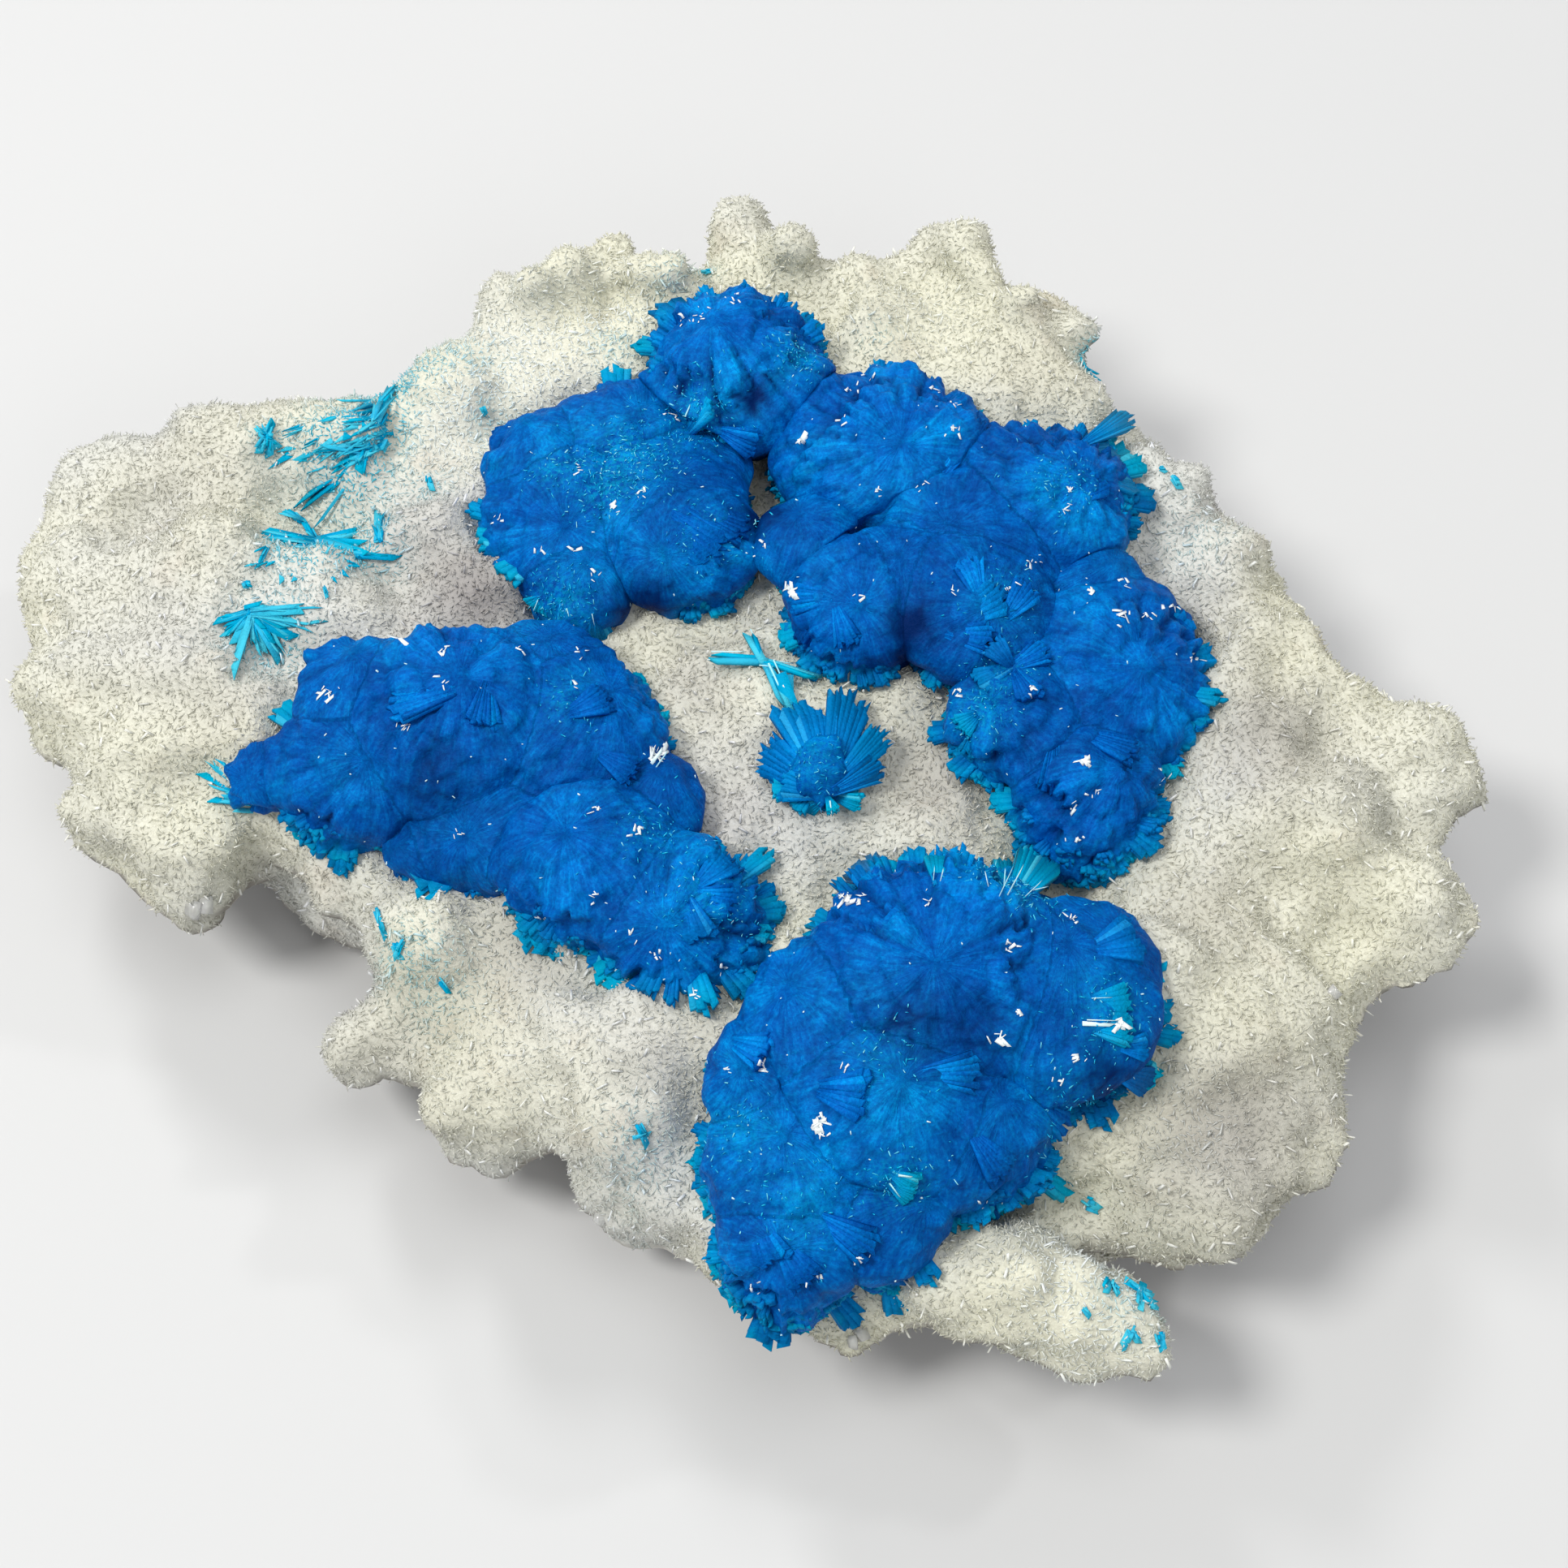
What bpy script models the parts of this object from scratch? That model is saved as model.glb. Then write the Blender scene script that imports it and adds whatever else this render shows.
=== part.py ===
# Cavansite crystals on a loose lump of stilbite.
# A lumpy slab of white stilbite, broken off flat underneath, carries domed bursts of blue
# cavansite blades. Bursts that have grown into each other are one solid. Metres, +Z up.
# The origin is under the middle of the specimen, on the surface that it rests on.

import math
import random

import bmesh
import bpy
from mathutils import Matrix, Vector
from mathutils.bvhtree import BVHTree

MM = 0.001

# Middle of the specimen's outline, in the millimetre plan that the lists below use.
PLAN_CENTRE = (-3.5, 5.85)

# The stilbite slab: rounded lobes run together, covered with smaller pillows and knobs.
STONE_VOXEL = 1.3 * MM
SMOOTH_STEPS = 3
PILLOW_SIZE = 8.5 * MM
PILLOW_DEPTH = 3.2 * MM
PILLOW_MIDDLE = 0.45
KNOB_SIZE = 3.5 * MM
KNOB_DEPTH = 1.2 * MM
STONE_TRIANGLES = 3850
CLEARANCE = 0.3 * MM

# The underside broke off in flat faces. Each: the way that it faces, in degrees round from +X,
# how far from the origin it leaves the base, in millimetres, and how steeply it rises.
BREAKS = [
    (10, 37, 30),
    (52, 35, 36),
    (97, 36, 28),
    (140, 33, 34),
    (176, 37, 17),
    (221, 28, 36),
    (262, 30, 31),
    (303, 35, 24),
    (338, 35, 36),
]
BLOCK_SIDE = 200 * MM

# A cavansite burst: a squashed dome drawn out in crystal tips, with a few larger flat blades.
DOME_SHARE = 0.92
SEAT_SHARE = 0.12
POINTS_PER_SQUARE_MM = 0.62
FEWEST_POINTS = 16
TIP_REACH = (1.0, 1.12)
HOLLOW_REACH = (0.82, 0.92)
BLADE_ROOT = 0.5
BLADE_REACH = (1.06, 1.2)
BLADES_PER_MM = 0.33
BLADE_WIDTH = 2.8 * MM
BLADE_THICK = 0.9 * MM
LOWEST_TIP = math.radians(-25)
LOWEST_BLADE = math.radians(4)
HIGHEST_BLADE = math.radians(58)
SEED = 7

# Each lump: x, y and z of its middle, then its three half sizes, all in millimetres.
BODY_LUMPS = [
    (2, 6, 5, 33, 29, 17),
    (1, 34, 7, 22, 15, 14.5),
    (-26, 9, 7, 22, 17, 14.5),
    (-26, 26, 10, 15, 11, 10.5),
    (-45, 14, 12, 10, 14, 9),
    (4, -20, 6, 19, 16, 15),
    (33, -4, 7, 15, 17, 13.5),
    (21, -22, 6, 13, 12, 13.5),
    (22, 25, 7, 13, 16, 14.5),
    (-15, -12, 6, 15, 12, 14.5),
]
LEFT_LUMPS = [
    (-53, 27, 15, 6.6, 6.6, 6),
    (-55, 18, 14.5, 5.2, 7, 6),
    (-52.5, 9, 14, 6.5, 6, 6.5),
    (-49.5, 0.5, 13.5, 5.5, 5.5, 6),
    (-44.5, -4, 12.5, 4.8, 4.6, 5.5),
    (-45, 28, 15.5, 8, 7, 6),
    (-37, 31, 16, 8, 6.5, 6),
    (-44, 17, 17, 8, 8, 6),
    (-41, 5, 16, 7, 7, 6),
    (-47, 8, 17, 6, 6, 5),
    (-36, 14, 18, 6, 5.5, 5),
]
FRONT_LUMPS = [
    (-35, 0, 14, 5, 5, 6),
    (-31.5, -6, 13.5, 4.6, 4.6, 6),
    (-25, -12, 14, 6, 5.5, 6),
    (-31, -18.5, 10.5, 3.8, 4, 4.4),
    (-27.5, -16, 9.5, 4, 3.8, 4),
    (-21.5, -23, 11.5, 5.2, 5.2, 6.5),
    (-17, -18.5, 13, 6, 6, 6.5),
    (-11, -23.5, 14, 6.6, 6.4, 7),
    (-12.5, -29.5, 8.5, 3.3, 2.8, 4),
    (-6.5, -30, 11, 4.6, 4.6, 6),
    (-2, -34, 12, 4.2, 4.2, 6),
    (4.5, -37, 10, 4.6, 4.2, 5),
    (11, -35.5, 12, 5.6, 4.6, 6),
    (15.5, -38, 13.5, 5.2, 5, 5.5),
    (20, -40.5, 13.5, 4.8, 4.6, 5),
    (24, -42, 13, 3.6, 3.2, 4),
]
RIGHT_LUMPS = [
    (28.5, -31, 13, 5.6, 5.2, 6.5),
    (33, -29, 12.5, 4.2, 4.2, 5),
    (38, -27.5, 12, 2.8, 4.2, 3.6),
    (36, -24, 12, 3.8, 3.8, 5),
    (30, -22, 14, 7, 7, 7),
    (36.5, -17.5, 13, 5.2, 5.2, 6.5),
    (31, -13, 15, 7, 7, 6.5),
    (45.5, -9.5, 13, 6.6, 5.8, 7),
    (47, 1.5, 14, 6.6, 5.6, 6.5),
    (38.5, -4, 15, 7.5, 8, 7),
    (41, 6.5, 14.5, 5.2, 4.6, 6),
    (37, 12.5, 14.5, 4.8, 5.6, 6),
    (34.5, 19.5, 15, 4.8, 5.2, 6),
    (29, 25.5, 15.5, 4.8, 5.2, 6),
]
BACK_LUMPS = [
    (24, 33, 16, 4.5, 5.2, 6),
    (20.5, 40.5, 17, 4.8, 5.6, 5.5),
    (15.5, 46, 17, 4.3, 5, 5),
    (13, 51, 17, 3.4, 4.8, 4.4),
    (6, 47.5, 16, 4.8, 3.8, 4.5),
    (-4, 52, 17.5, 3.8, 5, 4.5),
    (-2.5, 48, 16.5, 5.2, 5, 5),
    (-9, 45, 16.5, 6, 5, 5.5),
    (-14, 47.5, 16, 4.2, 3.8, 4.5),
    (-21.5, 44, 16.5, 5.6, 4.6, 5.5),
    (-27, 36.5, 16.5, 5.6, 5.6, 5.5),
]
TOP_LUMPS = [
    (-23, 15, 18, 6, 5, 5),
    (-27.5, 21, 18, 5, 4.5, 4.5),
    (-6, 5, 17, 7, 6, 5),
    (9, -4, 17, 6, 6, 5),
    (27, -17, 17, 7, 8, 5.5),
    (-7, -20, 16, 7, 6, 6),
    (34, 4, 17, 6, 7, 5),
    (18, 36, 18, 7, 6, 5),
    (9, 40, 18, 6, 5, 5),
    (-16, 38, 18, 8, 6, 5),
]

# Each burst: x and y of its middle on the stone, and its radius, all in millimetres.
CLUSTERS = {
    "cavansite_upper": [
        (-17, 20.5, 7.8),
        (-9.5, 21, 6.0),
        (-7.2, 15.8, 6.2),
        (-6.6, 25.5, 6.4),
        (-15.4, 14.4, 4.4),
        (-13, 28.8, 6.2),
        (-3.2, 34.4, 7.6),
        (8, 25.6, 8.8),
        (14, 18, 6.6),
        (20.4, 22, 7.8),
        (5.2, 11.2, 5.5),
        (13.6, 10.6, 6.0),
        (24.4, 7.2, 8.8),
        (15.6, 2.4, 5.4),
        (21.4, -3.2, 6.8),
    ],
    "cavansite_left": [
        (-38.4, -1.2, 2.6),
        (-31.6, -1.6, 6.8),
        (-24, 3.2, 7.4),
        (-15, 1.4, 7.3),
        (-20.5, -5.6, 6.4),
        (-14, -9, 6.2),
        (-7.2, -13.2, 7.2),
    ],
    "cavansite_front": [
        (10.4, -17.8, 9.2),
        (19.2, -21, 7.8),
        (3.4, -21.6, 5.0),
        (13.8, -29.6, 6.8),
        (7, -27, 6.0),
        (0.2, -30, 6.6),
        (0.6, -36.4, 5.8),
        (7.6, -34.4, 5.2),
    ],
    "cavansite_centre": [
        (2.6, 1.4, 3.4),
        (2.2, -2.8, 3.8),
    ],
}

# Thin open sprays: x, y, radius, number of blades, and the sector that they fan over, in degrees.
SPRAYS = {
    "cavansite_needles": (-2.4, 6.4, 2.7, 6, 0, 360),
    "spray_left_back": (-34, 28.5, 4.6, 6, 20, 250),
    "spray_left_middle": (-35, 17.8, 4.4, 6, 0, 360),
    "spray_left_front": (-39.4, 11.2, 3.6, 5, 180, 360),
    "spray_right_back": (24.4, 36.8, 1.9, 3, 0, 360),
    "spray_front_edge": (25, -38.8, 2.0, 3, 0, 360),
}
SPRAY_WIDTH = 1.0 * MM
SPRAY_THICK = 0.55 * MM
SPRAY_RISE = math.radians(24)
KNOT_SHARE = 0.34


def plan(x, y, z=0.0):
    """A place in the millimetre plan as a point in metres round the origin."""
    return Vector(((x - PLAN_CENTRE[0]) * MM, (y - PLAN_CENTRE[1]) * MM, z * MM))


def new_object(name, mesh, collection):
    obj = bpy.data.objects.new(name, mesh)
    collection.objects.link(obj)
    return obj


def object_from_bmesh(name, shape, collection):
    mesh = bpy.data.meshes.new(name)
    shape.to_mesh(mesh)
    shape.free()
    return new_object(name, mesh, collection)


def hide_helper(obj):
    obj.hide_render = True
    obj.display_type = "WIRE"


def apply_modifiers(obj):
    """Replaces the object's mesh by what its modifiers make of it."""
    bpy.context.view_layer.update()
    graph = bpy.context.evaluated_depsgraph_get()
    made = bpy.data.meshes.new_from_object(obj.evaluated_get(graph))
    obj.modifiers.clear()
    obj.data = made
    made.name = obj.name


def split_in_triangles(obj):
    """Fixes each face's diagonals, so that a grown or cut copy has the same ones."""
    shape = bmesh.new()
    shape.from_mesh(obj.data)
    bmesh.ops.triangulate(shape, faces=shape.faces)
    shape.to_mesh(obj.data)
    shape.free()


def add_boolean(obj, operation, other, solver="EXACT"):
    modifier = obj.modifiers.new(operation.lower() + "_" + other.name, "BOOLEAN")
    modifier.operation = operation
    modifier.object = other
    modifier.solver = solver
    if solver == "EXACT":
        modifier.use_self = operation == "UNION"


def finish_material(name, colour, roughness):
    material = bpy.data.materials.new(name)
    material.use_nodes = True
    shader = material.node_tree.nodes["Principled BSDF"]
    shader.inputs["Base Color"].default_value = (*colour, 1.0)
    shader.inputs["Roughness"].default_value = roughness
    shader.inputs["Metallic"].default_value = 0.0
    material.diffuse_color = (*colour, 1.0)
    return material


def add_lump(shape, lump):
    x, y, z, *half = lump
    size = Matrix.Diagonal((*[h * MM for h in half], 1.0))
    bmesh.ops.create_icosphere(
        shape, subdivisions=3, radius=1.0, matrix=Matrix.Translation(plan(x, y, z)) @ size
    )


def make_block(name, place, helpers):
    """A large hidden block whose top is the plane z = 0 of the given place."""
    shape = bmesh.new()
    below = Matrix.Translation((0, 0, -BLOCK_SIDE / 2))
    bmesh.ops.create_cube(shape, size=BLOCK_SIDE, matrix=place @ below)
    block = object_from_bmesh(name, shape, helpers)
    hide_helper(block)
    return block


def add_texture_relief(stone, name, kind, size, depth, middle):
    """Pushes the surface in and out by a solid pattern. Returns the pattern."""
    pattern = bpy.data.textures.new(name, kind)
    pattern.noise_scale = size
    relief = stone.modifiers.new(name, "DISPLACE")
    relief.texture = pattern
    relief.texture_coords = "LOCAL"
    relief.strength = depth
    relief.mid_level = middle
    return pattern


def make_stone(parts, helpers):
    """The stilbite slab: lobes run together, pillowed on top and broken off flat underneath."""
    shape = bmesh.new()
    for lump in BODY_LUMPS + LEFT_LUMPS + FRONT_LUMPS + RIGHT_LUMPS + BACK_LUMPS + TOP_LUMPS:
        add_lump(shape, lump)
    stone = object_from_bmesh("stilbite_matrix", shape, parts)

    remesh = stone.modifiers.new("run_together", "REMESH")
    remesh.mode = "VOXEL"
    remesh.voxel_size = STONE_VOXEL
    smooth = stone.modifiers.new("soften", "SMOOTH")
    smooth.factor = 0.5
    smooth.iterations = SMOOTH_STEPS
    add_texture_relief(stone, "pillows", "VORONOI", PILLOW_SIZE, -PILLOW_DEPTH, PILLOW_MIDDLE)
    add_texture_relief(stone, "knobs", "CLOUDS", KNOB_SIZE, KNOB_DEPTH, 0.5)
    apply_modifiers(stone)
    thin_out(stone, STONE_TRIANGLES)

    for way, distance, rise in BREAKS:
        turn = Matrix.Rotation(math.radians(way), 4, "Z")
        lean = Matrix.Rotation(-math.radians(rise), 4, "Y")
        block = make_block(f"break_{way}", turn @ Matrix.Translation((distance * MM, 0, 0)) @ lean, helpers)
        add_boolean(stone, "DIFFERENCE", block)
    add_boolean(stone, "DIFFERENCE", make_block("floor", Matrix.Identity(4), helpers))
    apply_modifiers(stone)
    split_in_triangles(stone)
    return stone


def thin_out(obj, triangles):
    """Collapses the mesh to about the given number of triangles."""
    obj.data.calc_loop_triangles()
    decimate = obj.modifiers.new("facets", "DECIMATE")
    decimate.ratio = min(1.0, triangles / len(obj.data.loop_triangles))
    apply_modifiers(obj)


def make_clearance(stone, helpers):
    """The stone grown by the gap that is left between it and the crystals on it."""
    shape = bmesh.new()
    shape.from_mesh(stone.data)
    shape.normal_update()
    for vert in shape.verts:
        vert.co += vert.normal * CLEARANCE * vert.calc_shell_factor()
    grown = object_from_bmesh("stone_clearance", shape, helpers)
    hide_helper(grown)
    return grown


def surface_height(tree, x, y):
    """Height of the stone's top under a place in the plan."""
    hit = tree.ray_cast(plan(x, y, 100), Vector((0, 0, -1)))[0]
    return hit.z


def add_blade(shape, centre, direction, roll, start, length, width, thick):
    """One flat crystal: narrow at its root, widest below a bevelled, blunt tip."""
    made = bmesh.ops.create_cube(shape, size=1.0)["verts"]
    tip_slope = 0.12 * width
    for vert in made:
        outer = vert.co.z > 0
        across = width * (1.0 if outer else 0.6)
        deep = thick * (0.7 if outer else 1.0)
        reach = length - (tip_slope if vert.co.x > 0 else 0) if outer else start
        vert.co = Vector((vert.co.x * across, vert.co.y * deep, reach))
    turn = direction.to_track_quat("Z", "Y").to_matrix().to_4x4()
    place = Matrix.Translation(centre) @ turn @ Matrix.Rotation(roll, 4, "Z")
    bmesh.ops.transform(shape, matrix=place, verts=made)


def dome_direction(index, count, lowest, highest, dice):
    """Evenly spread directions between two heights of a dome, by the golden angle."""
    low, high = math.sin(lowest), math.sin(highest)
    height = low + (high - low) * (index + 0.5) / count
    turn = index * math.pi * (3 - math.sqrt(5)) + dice.uniform(-0.2, 0.2)
    flat = math.sqrt(1 - height * height)
    return Vector((flat * math.cos(turn), flat * math.sin(turn), height))


def squash(direction):
    return Vector((direction.x, direction.y, direction.z * DOME_SHARE))


def add_tipped_dome(shape, centre, radius, dice):
    """A faceted dome with every few of its points drawn out in a crystal's tip."""
    count = max(FEWEST_POINTS, round((radius / MM) ** 2 * POINTS_PER_SQUARE_MM))
    top = math.radians(90)
    points = [
        shape.verts.new(dome_direction(index, count, LOWEST_TIP, top, dice)) for index in range(count)
    ]
    bmesh.ops.convex_hull(shape, input=points)
    tips = set()
    for vert in dice.sample(points, count):
        if not any(edge.other_vert(vert) in tips for edge in vert.link_edges):
            tips.add(vert)
    for vert in points:
        reach = radius * dice.uniform(*(TIP_REACH if vert in tips else HOLLOW_REACH))
        vert.co = centre + squash(vert.co) * reach


def add_burst_blades(shape, centre, radius, dice):
    """The larger blades of a burst, spread round its dome."""
    count = max(2, round(radius / MM * BLADES_PER_MM))
    for index in range(count):
        direction = dome_direction(index, count, LOWEST_BLADE, HIGHEST_BLADE, dice)
        reach = radius * squash(direction).length
        add_blade(
            shape, centre, direction, dice.uniform(0, math.pi),
            reach * BLADE_ROOT, reach * dice.uniform(*BLADE_REACH),
            BLADE_WIDTH * dice.uniform(0.75, 1.25), BLADE_THICK * dice.uniform(0.8, 1.2),
        )


def keep_largest_body(obj):
    """Deletes the chips that the stone's surface has cut off a solid."""
    shape = bmesh.new()
    shape.from_mesh(obj.data)
    left = set(shape.verts)
    bodies = []
    while left:
        body, edge = set(), [left.pop()]
        while edge:
            vert = edge.pop()
            body.add(vert)
            near = {e.other_vert(vert) for e in vert.link_edges} & left
            left -= near
            edge.extend(near)
        bodies.append(body)
    bodies.sort(key=len)
    for body in bodies[:-1]:
        bmesh.ops.delete(shape, geom=list(body), context="VERTS")
    shape.to_mesh(obj.data)
    shape.free()


def join_on_stone(name, solid, others, clearance, parts, helpers):
    """Joins overlapping shapes in one solid and cuts it where the stone's surface is."""
    crystal = object_from_bmesh(name, solid, parts)
    joined = object_from_bmesh(name + "_joined", others, helpers)
    hide_helper(joined)
    add_boolean(crystal, "UNION", joined)
    apply_modifiers(crystal)
    # The exact solver can drop the whole solid here.
    add_boolean(crystal, "DIFFERENCE", clearance, "MANIFOLD")
    apply_modifiers(crystal)
    keep_largest_body(crystal)
    return crystal


def make_cluster(name, bursts, tree, clearance, parts, helpers, dice):
    """Bursts that have grown into each other: one solid of domes with blades."""
    domes, blades = bmesh.new(), bmesh.new()
    for x, y, radius in bursts:
        centre = plan(x, y)
        centre.z = surface_height(tree, x, y) + SEAT_SHARE * radius * MM
        add_tipped_dome(domes, centre, radius * MM, dice)
        add_burst_blades(blades, centre, radius * MM, dice)
    return join_on_stone(name, domes, blades, clearance, parts, helpers)


def make_spray(name, spray, tree, clearance, parts, helpers, dice):
    """A few thin blades fanned low over the stone from one root."""
    x, y, radius, count, start, end = spray
    root = plan(x, y)
    root.z = surface_height(tree, x, y) + 0.25 * MM
    reach = radius * MM
    knot, blades = bmesh.new(), bmesh.new()
    bmesh.ops.create_icosphere(
        knot, subdivisions=1, radius=KNOT_SHARE * reach, matrix=Matrix.Translation(root)
    )
    for index in range(count):
        turn = math.radians(start + (end - start) * (index + 0.5) / count)
        rise = SPRAY_RISE * dice.uniform(0.5, 1.7)
        flat = math.cos(rise)
        direction = Vector((flat * math.cos(turn), flat * math.sin(turn), math.sin(rise)))
        add_blade(
            blades, root, direction, dice.uniform(-0.5, 0.5), 0.08 * reach,
            reach * dice.uniform(0.8, 1.15), SPRAY_WIDTH, SPRAY_THICK,
        )
    return join_on_stone(name, knot, blades, clearance, parts, helpers)


def main():
    for obj in list(bpy.data.objects):
        bpy.data.objects.remove(obj)
    parts = bpy.data.collections.new("cavansite_specimen")
    helpers = bpy.data.collections.new("cutters")
    for collection in (parts, helpers):
        bpy.context.scene.collection.children.link(collection)

    stilbite = finish_material("stilbite", (0.62, 0.60, 0.55), 0.5)
    cavansite = finish_material("cavansite", (0.0, 0.13, 0.45), 0.25)

    stone = make_stone(parts, helpers)
    stone.data.materials.append(stilbite)
    bpy.context.view_layer.update()
    tree = BVHTree.FromObject(stone, bpy.context.evaluated_depsgraph_get())
    clearance = make_clearance(stone, helpers)

    dice = random.Random(SEED)
    crystals = [
        make_cluster(name, bursts, tree, clearance, parts, helpers, dice)
        for name, bursts in CLUSTERS.items()
    ]
    crystals += [
        make_spray(name, spray, tree, clearance, parts, helpers, dice)
        for name, spray in SPRAYS.items()
    ]
    for crystal in crystals:
        crystal.data.materials.clear()
        crystal.data.materials.append(cavansite)


main()
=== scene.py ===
import math
import random

import bmesh
import bpy
import numpy as np
from mathutils import Matrix, Vector
from mathutils.bvhtree import BVHTree
from mathutils.kdtree import KDTree


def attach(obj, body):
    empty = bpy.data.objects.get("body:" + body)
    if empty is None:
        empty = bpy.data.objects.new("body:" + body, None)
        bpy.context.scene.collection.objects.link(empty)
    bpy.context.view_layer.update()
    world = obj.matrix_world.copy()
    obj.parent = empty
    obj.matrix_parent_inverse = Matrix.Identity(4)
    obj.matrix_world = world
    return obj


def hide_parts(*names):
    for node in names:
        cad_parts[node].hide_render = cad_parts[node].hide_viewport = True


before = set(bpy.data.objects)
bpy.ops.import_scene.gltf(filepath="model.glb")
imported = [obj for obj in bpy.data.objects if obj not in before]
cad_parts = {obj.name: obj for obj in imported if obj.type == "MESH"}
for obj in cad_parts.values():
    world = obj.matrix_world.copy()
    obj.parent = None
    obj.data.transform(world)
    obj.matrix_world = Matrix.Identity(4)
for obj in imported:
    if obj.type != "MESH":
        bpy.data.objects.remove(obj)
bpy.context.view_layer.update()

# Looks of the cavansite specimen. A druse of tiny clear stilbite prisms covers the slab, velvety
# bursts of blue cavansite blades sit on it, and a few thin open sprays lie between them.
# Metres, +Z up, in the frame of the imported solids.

MM = 0.001
PER_SQUARE_MM = 1.0e6
WELL_ABOVE = 100 * MM
ALMOST_IN_LINE = 0.05

# Middle of the specimen's outline, in the millimetre plan that the lists below use.
PLAN_CENTRE = (-3.5, 5.85)

# The slab's ground, under the druse.
GROUND_VOXEL = 0.85 * MM
GROUND_SMOOTH_STEPS = 1
GROUND_PULL = 0.22 * MM
KNOB_SIZE = 3.6 * MM
KNOB_DEPTH = 1.25 * MM
NODULE_SIZE = 1.6 * MM
NODULE_DEPTH = 0.5 * MM
BROKEN_BELOW = 3.2 * MM
BROKEN_SOFTNESS = 1.2 * MM
UNDERSIDE_SLOPE = (0.05, 0.35)
WELD_GAP = 0.001 * MM
FLAT_BELOW = 0.3 * MM

# The druse: crystals to the square millimetre, least gap, sizes in millimetres, lean and tints.
FINE_PRISMS = {
    "density": 11.5, "gap": 0.21 * MM, "least": (0.055, 0.05, 0.30), "most": (0.12, 0.10, 0.72),
    "lean": math.radians(68), "tints": (0.0, 0.85),
}
# The bright laths: the whitest prisms, partly painted glints.
BRIGHT_LATHS = {
    "density": 0.30, "gap": 0.6 * MM, "least": (0.10, 0.07, 0.30), "most": (0.22, 0.12, 0.9),
    "lean": math.radians(75), "tints": (0.90, 1.0),
}
LATH_LIFT = 0.16 * MM

# On the bursts, in the same way: cyan blade ends in the sparkling clouds, painted highlights, and a few
# pale specks everywhere, partly painted glints.
GLITTER = {
    "density": 8.0, "gap": 0.16 * MM, "least": (0.04, 0.04, 0.12), "most": (0.11, 0.06, 0.46),
    "lean": math.radians(75), "tints": (0.0, 0.92),
}
PALE_SPECKS = {
    "density": 0.05, "gap": 0.8 * MM, "least": (0.05, 0.04, 0.10), "most": (0.12, 0.08, 0.26),
    "lean": math.radians(80), "tints": (0.96, 1.0),
}

# The druse is parted into a few pieces round the stone, the first from this turn in degrees.
DRUSE_PIECES = 5
DRUSE_SECTOR = 360 / DRUSE_PIECES
DRUSE_START = 54
DRUSE_LAYERS = ("tint", "shade", "brightness", "blue_wash")
DRUSE_BARE = (0.25, 0.75)
BARE_UNDER_BURST = 0.80
PRISM_SEED = 20
LATH_SEED = 40

# A burst of cavansite: a squashed dome of wedges that part from one axis, in two tiers.
DOME_SHARE = 0.88
SEAT_SHARE = 0.12
DOME_REACH = 0.87
LOWEST_REACH = 0.42

# The carpet of a cluster: how its bursts melt together, and how the seams between them are smoothed.
CARPET_VOXEL = 0.31 * MM
MELT = 2.8 * MM
DEEPEST_INSIDE = 6 * MM
FARTHEST_OUTSIDE = 60 * MM
SEAM_RANGE = (0.32, 0.56)
# Strength of the painted shade along the seams between bursts.
SEAM_SHADE = 0.16
SEAM_FADE = 0.85
SEAM_SMOOTH_STEPS = 7
LEAST_SEAM = 0.02

# How far its lift is held back on steep sides, and where its rim is, whose laths stand out singly.
HELD_BACK = 0.9
FACING_UP = (0.1, 0.65)
FOOT_HEIGHT = (1.2 * MM, 3.2 * MM)
FACING_BACK = (0.25, 0.5)
RIM_TILT = (0.5, 0.75)

# Wedges of one burst, in two tiers round its axis: the inner ones end in fronts. Angles in radians.
AXIS_LEAN = 0.45
BORDER_JITTER = 0.38
INNER_WEDGES = 0.95
LEAST_INNER = 4
OUTER_WEDGES = 1.5
LEAST_OUTER = 6
WEDGE_FRONT = (0.65, 1.25)
FRONT_EDGE = (0, 0.10)
FRONT_RISE = (0.1, 0.75)
FRONT_SHADOW = (0.05, 0.35)
OPENING = (0.1, 0.8)
WEDGE_STEP = 0.44 * MM
WEDGE_CROWN = 0.15 * MM
FRONT_DROP = (0.2 * MM, 0.7 * MM)
CREASE_DEPTH = (0.10 * MM, 0.66 * MM)
CREASE_WIDTH = 0.32 * MM
# Strengths of the painted shade in the creases between wedges and of the painted shadow under their fronts.
CREASE_SHADE = 0.9
FRONT_SHADE = 0.5
CROWN_WIDTH = 1.2 * MM
WEDGE_TONE = 0.28

# Laths along the wedges, and slanted heads of blades all over.
LATH_SPACING = 0.62 * MM
LATH_FRONT = 0.11
LATH_STEP = 0.08 * MM
TOOTH_STEP = 0.45 * MM
HEAD_SPACING = 1.5 * MM
HEAD_STEP = 0.20 * MM
HEAD_SLANT = 0.26
HEAD_CREASE = 0.14 * MM
HEAD_CREASE_WIDTH = 0.8 * CREASE_WIDTH
# Strength of the painted shade in the creases between blade heads.
HEAD_SHADE = 0.35

# Size of the strands' pattern, and where a carpet is sunk, shown and teal: heights in millimetres
# over the stone, slopes by how far up the face looks.
GRAIN_ROUND = 4.0 * MM
GRAIN_OUT = 1.1 * MM
SUNK_BELOW_GROUND = 0.9 * MM
BEYOND_THE_STONE = 3.0
SHOWN_HEIGHT = (-0.6, 0.1)
SHOWN_SLOPE = (-0.75, -0.45)
EDGE_HEIGHTS = (0.4, 2.6)
EDGE_TILT = (0.3, 0.75)
CARPET_TINT = 0.3
CARPET_TIP = 0.82
# How much the lighter regions, partly painted light, lift the strands' tone.
LIGHT_TONE = 0.45
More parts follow.
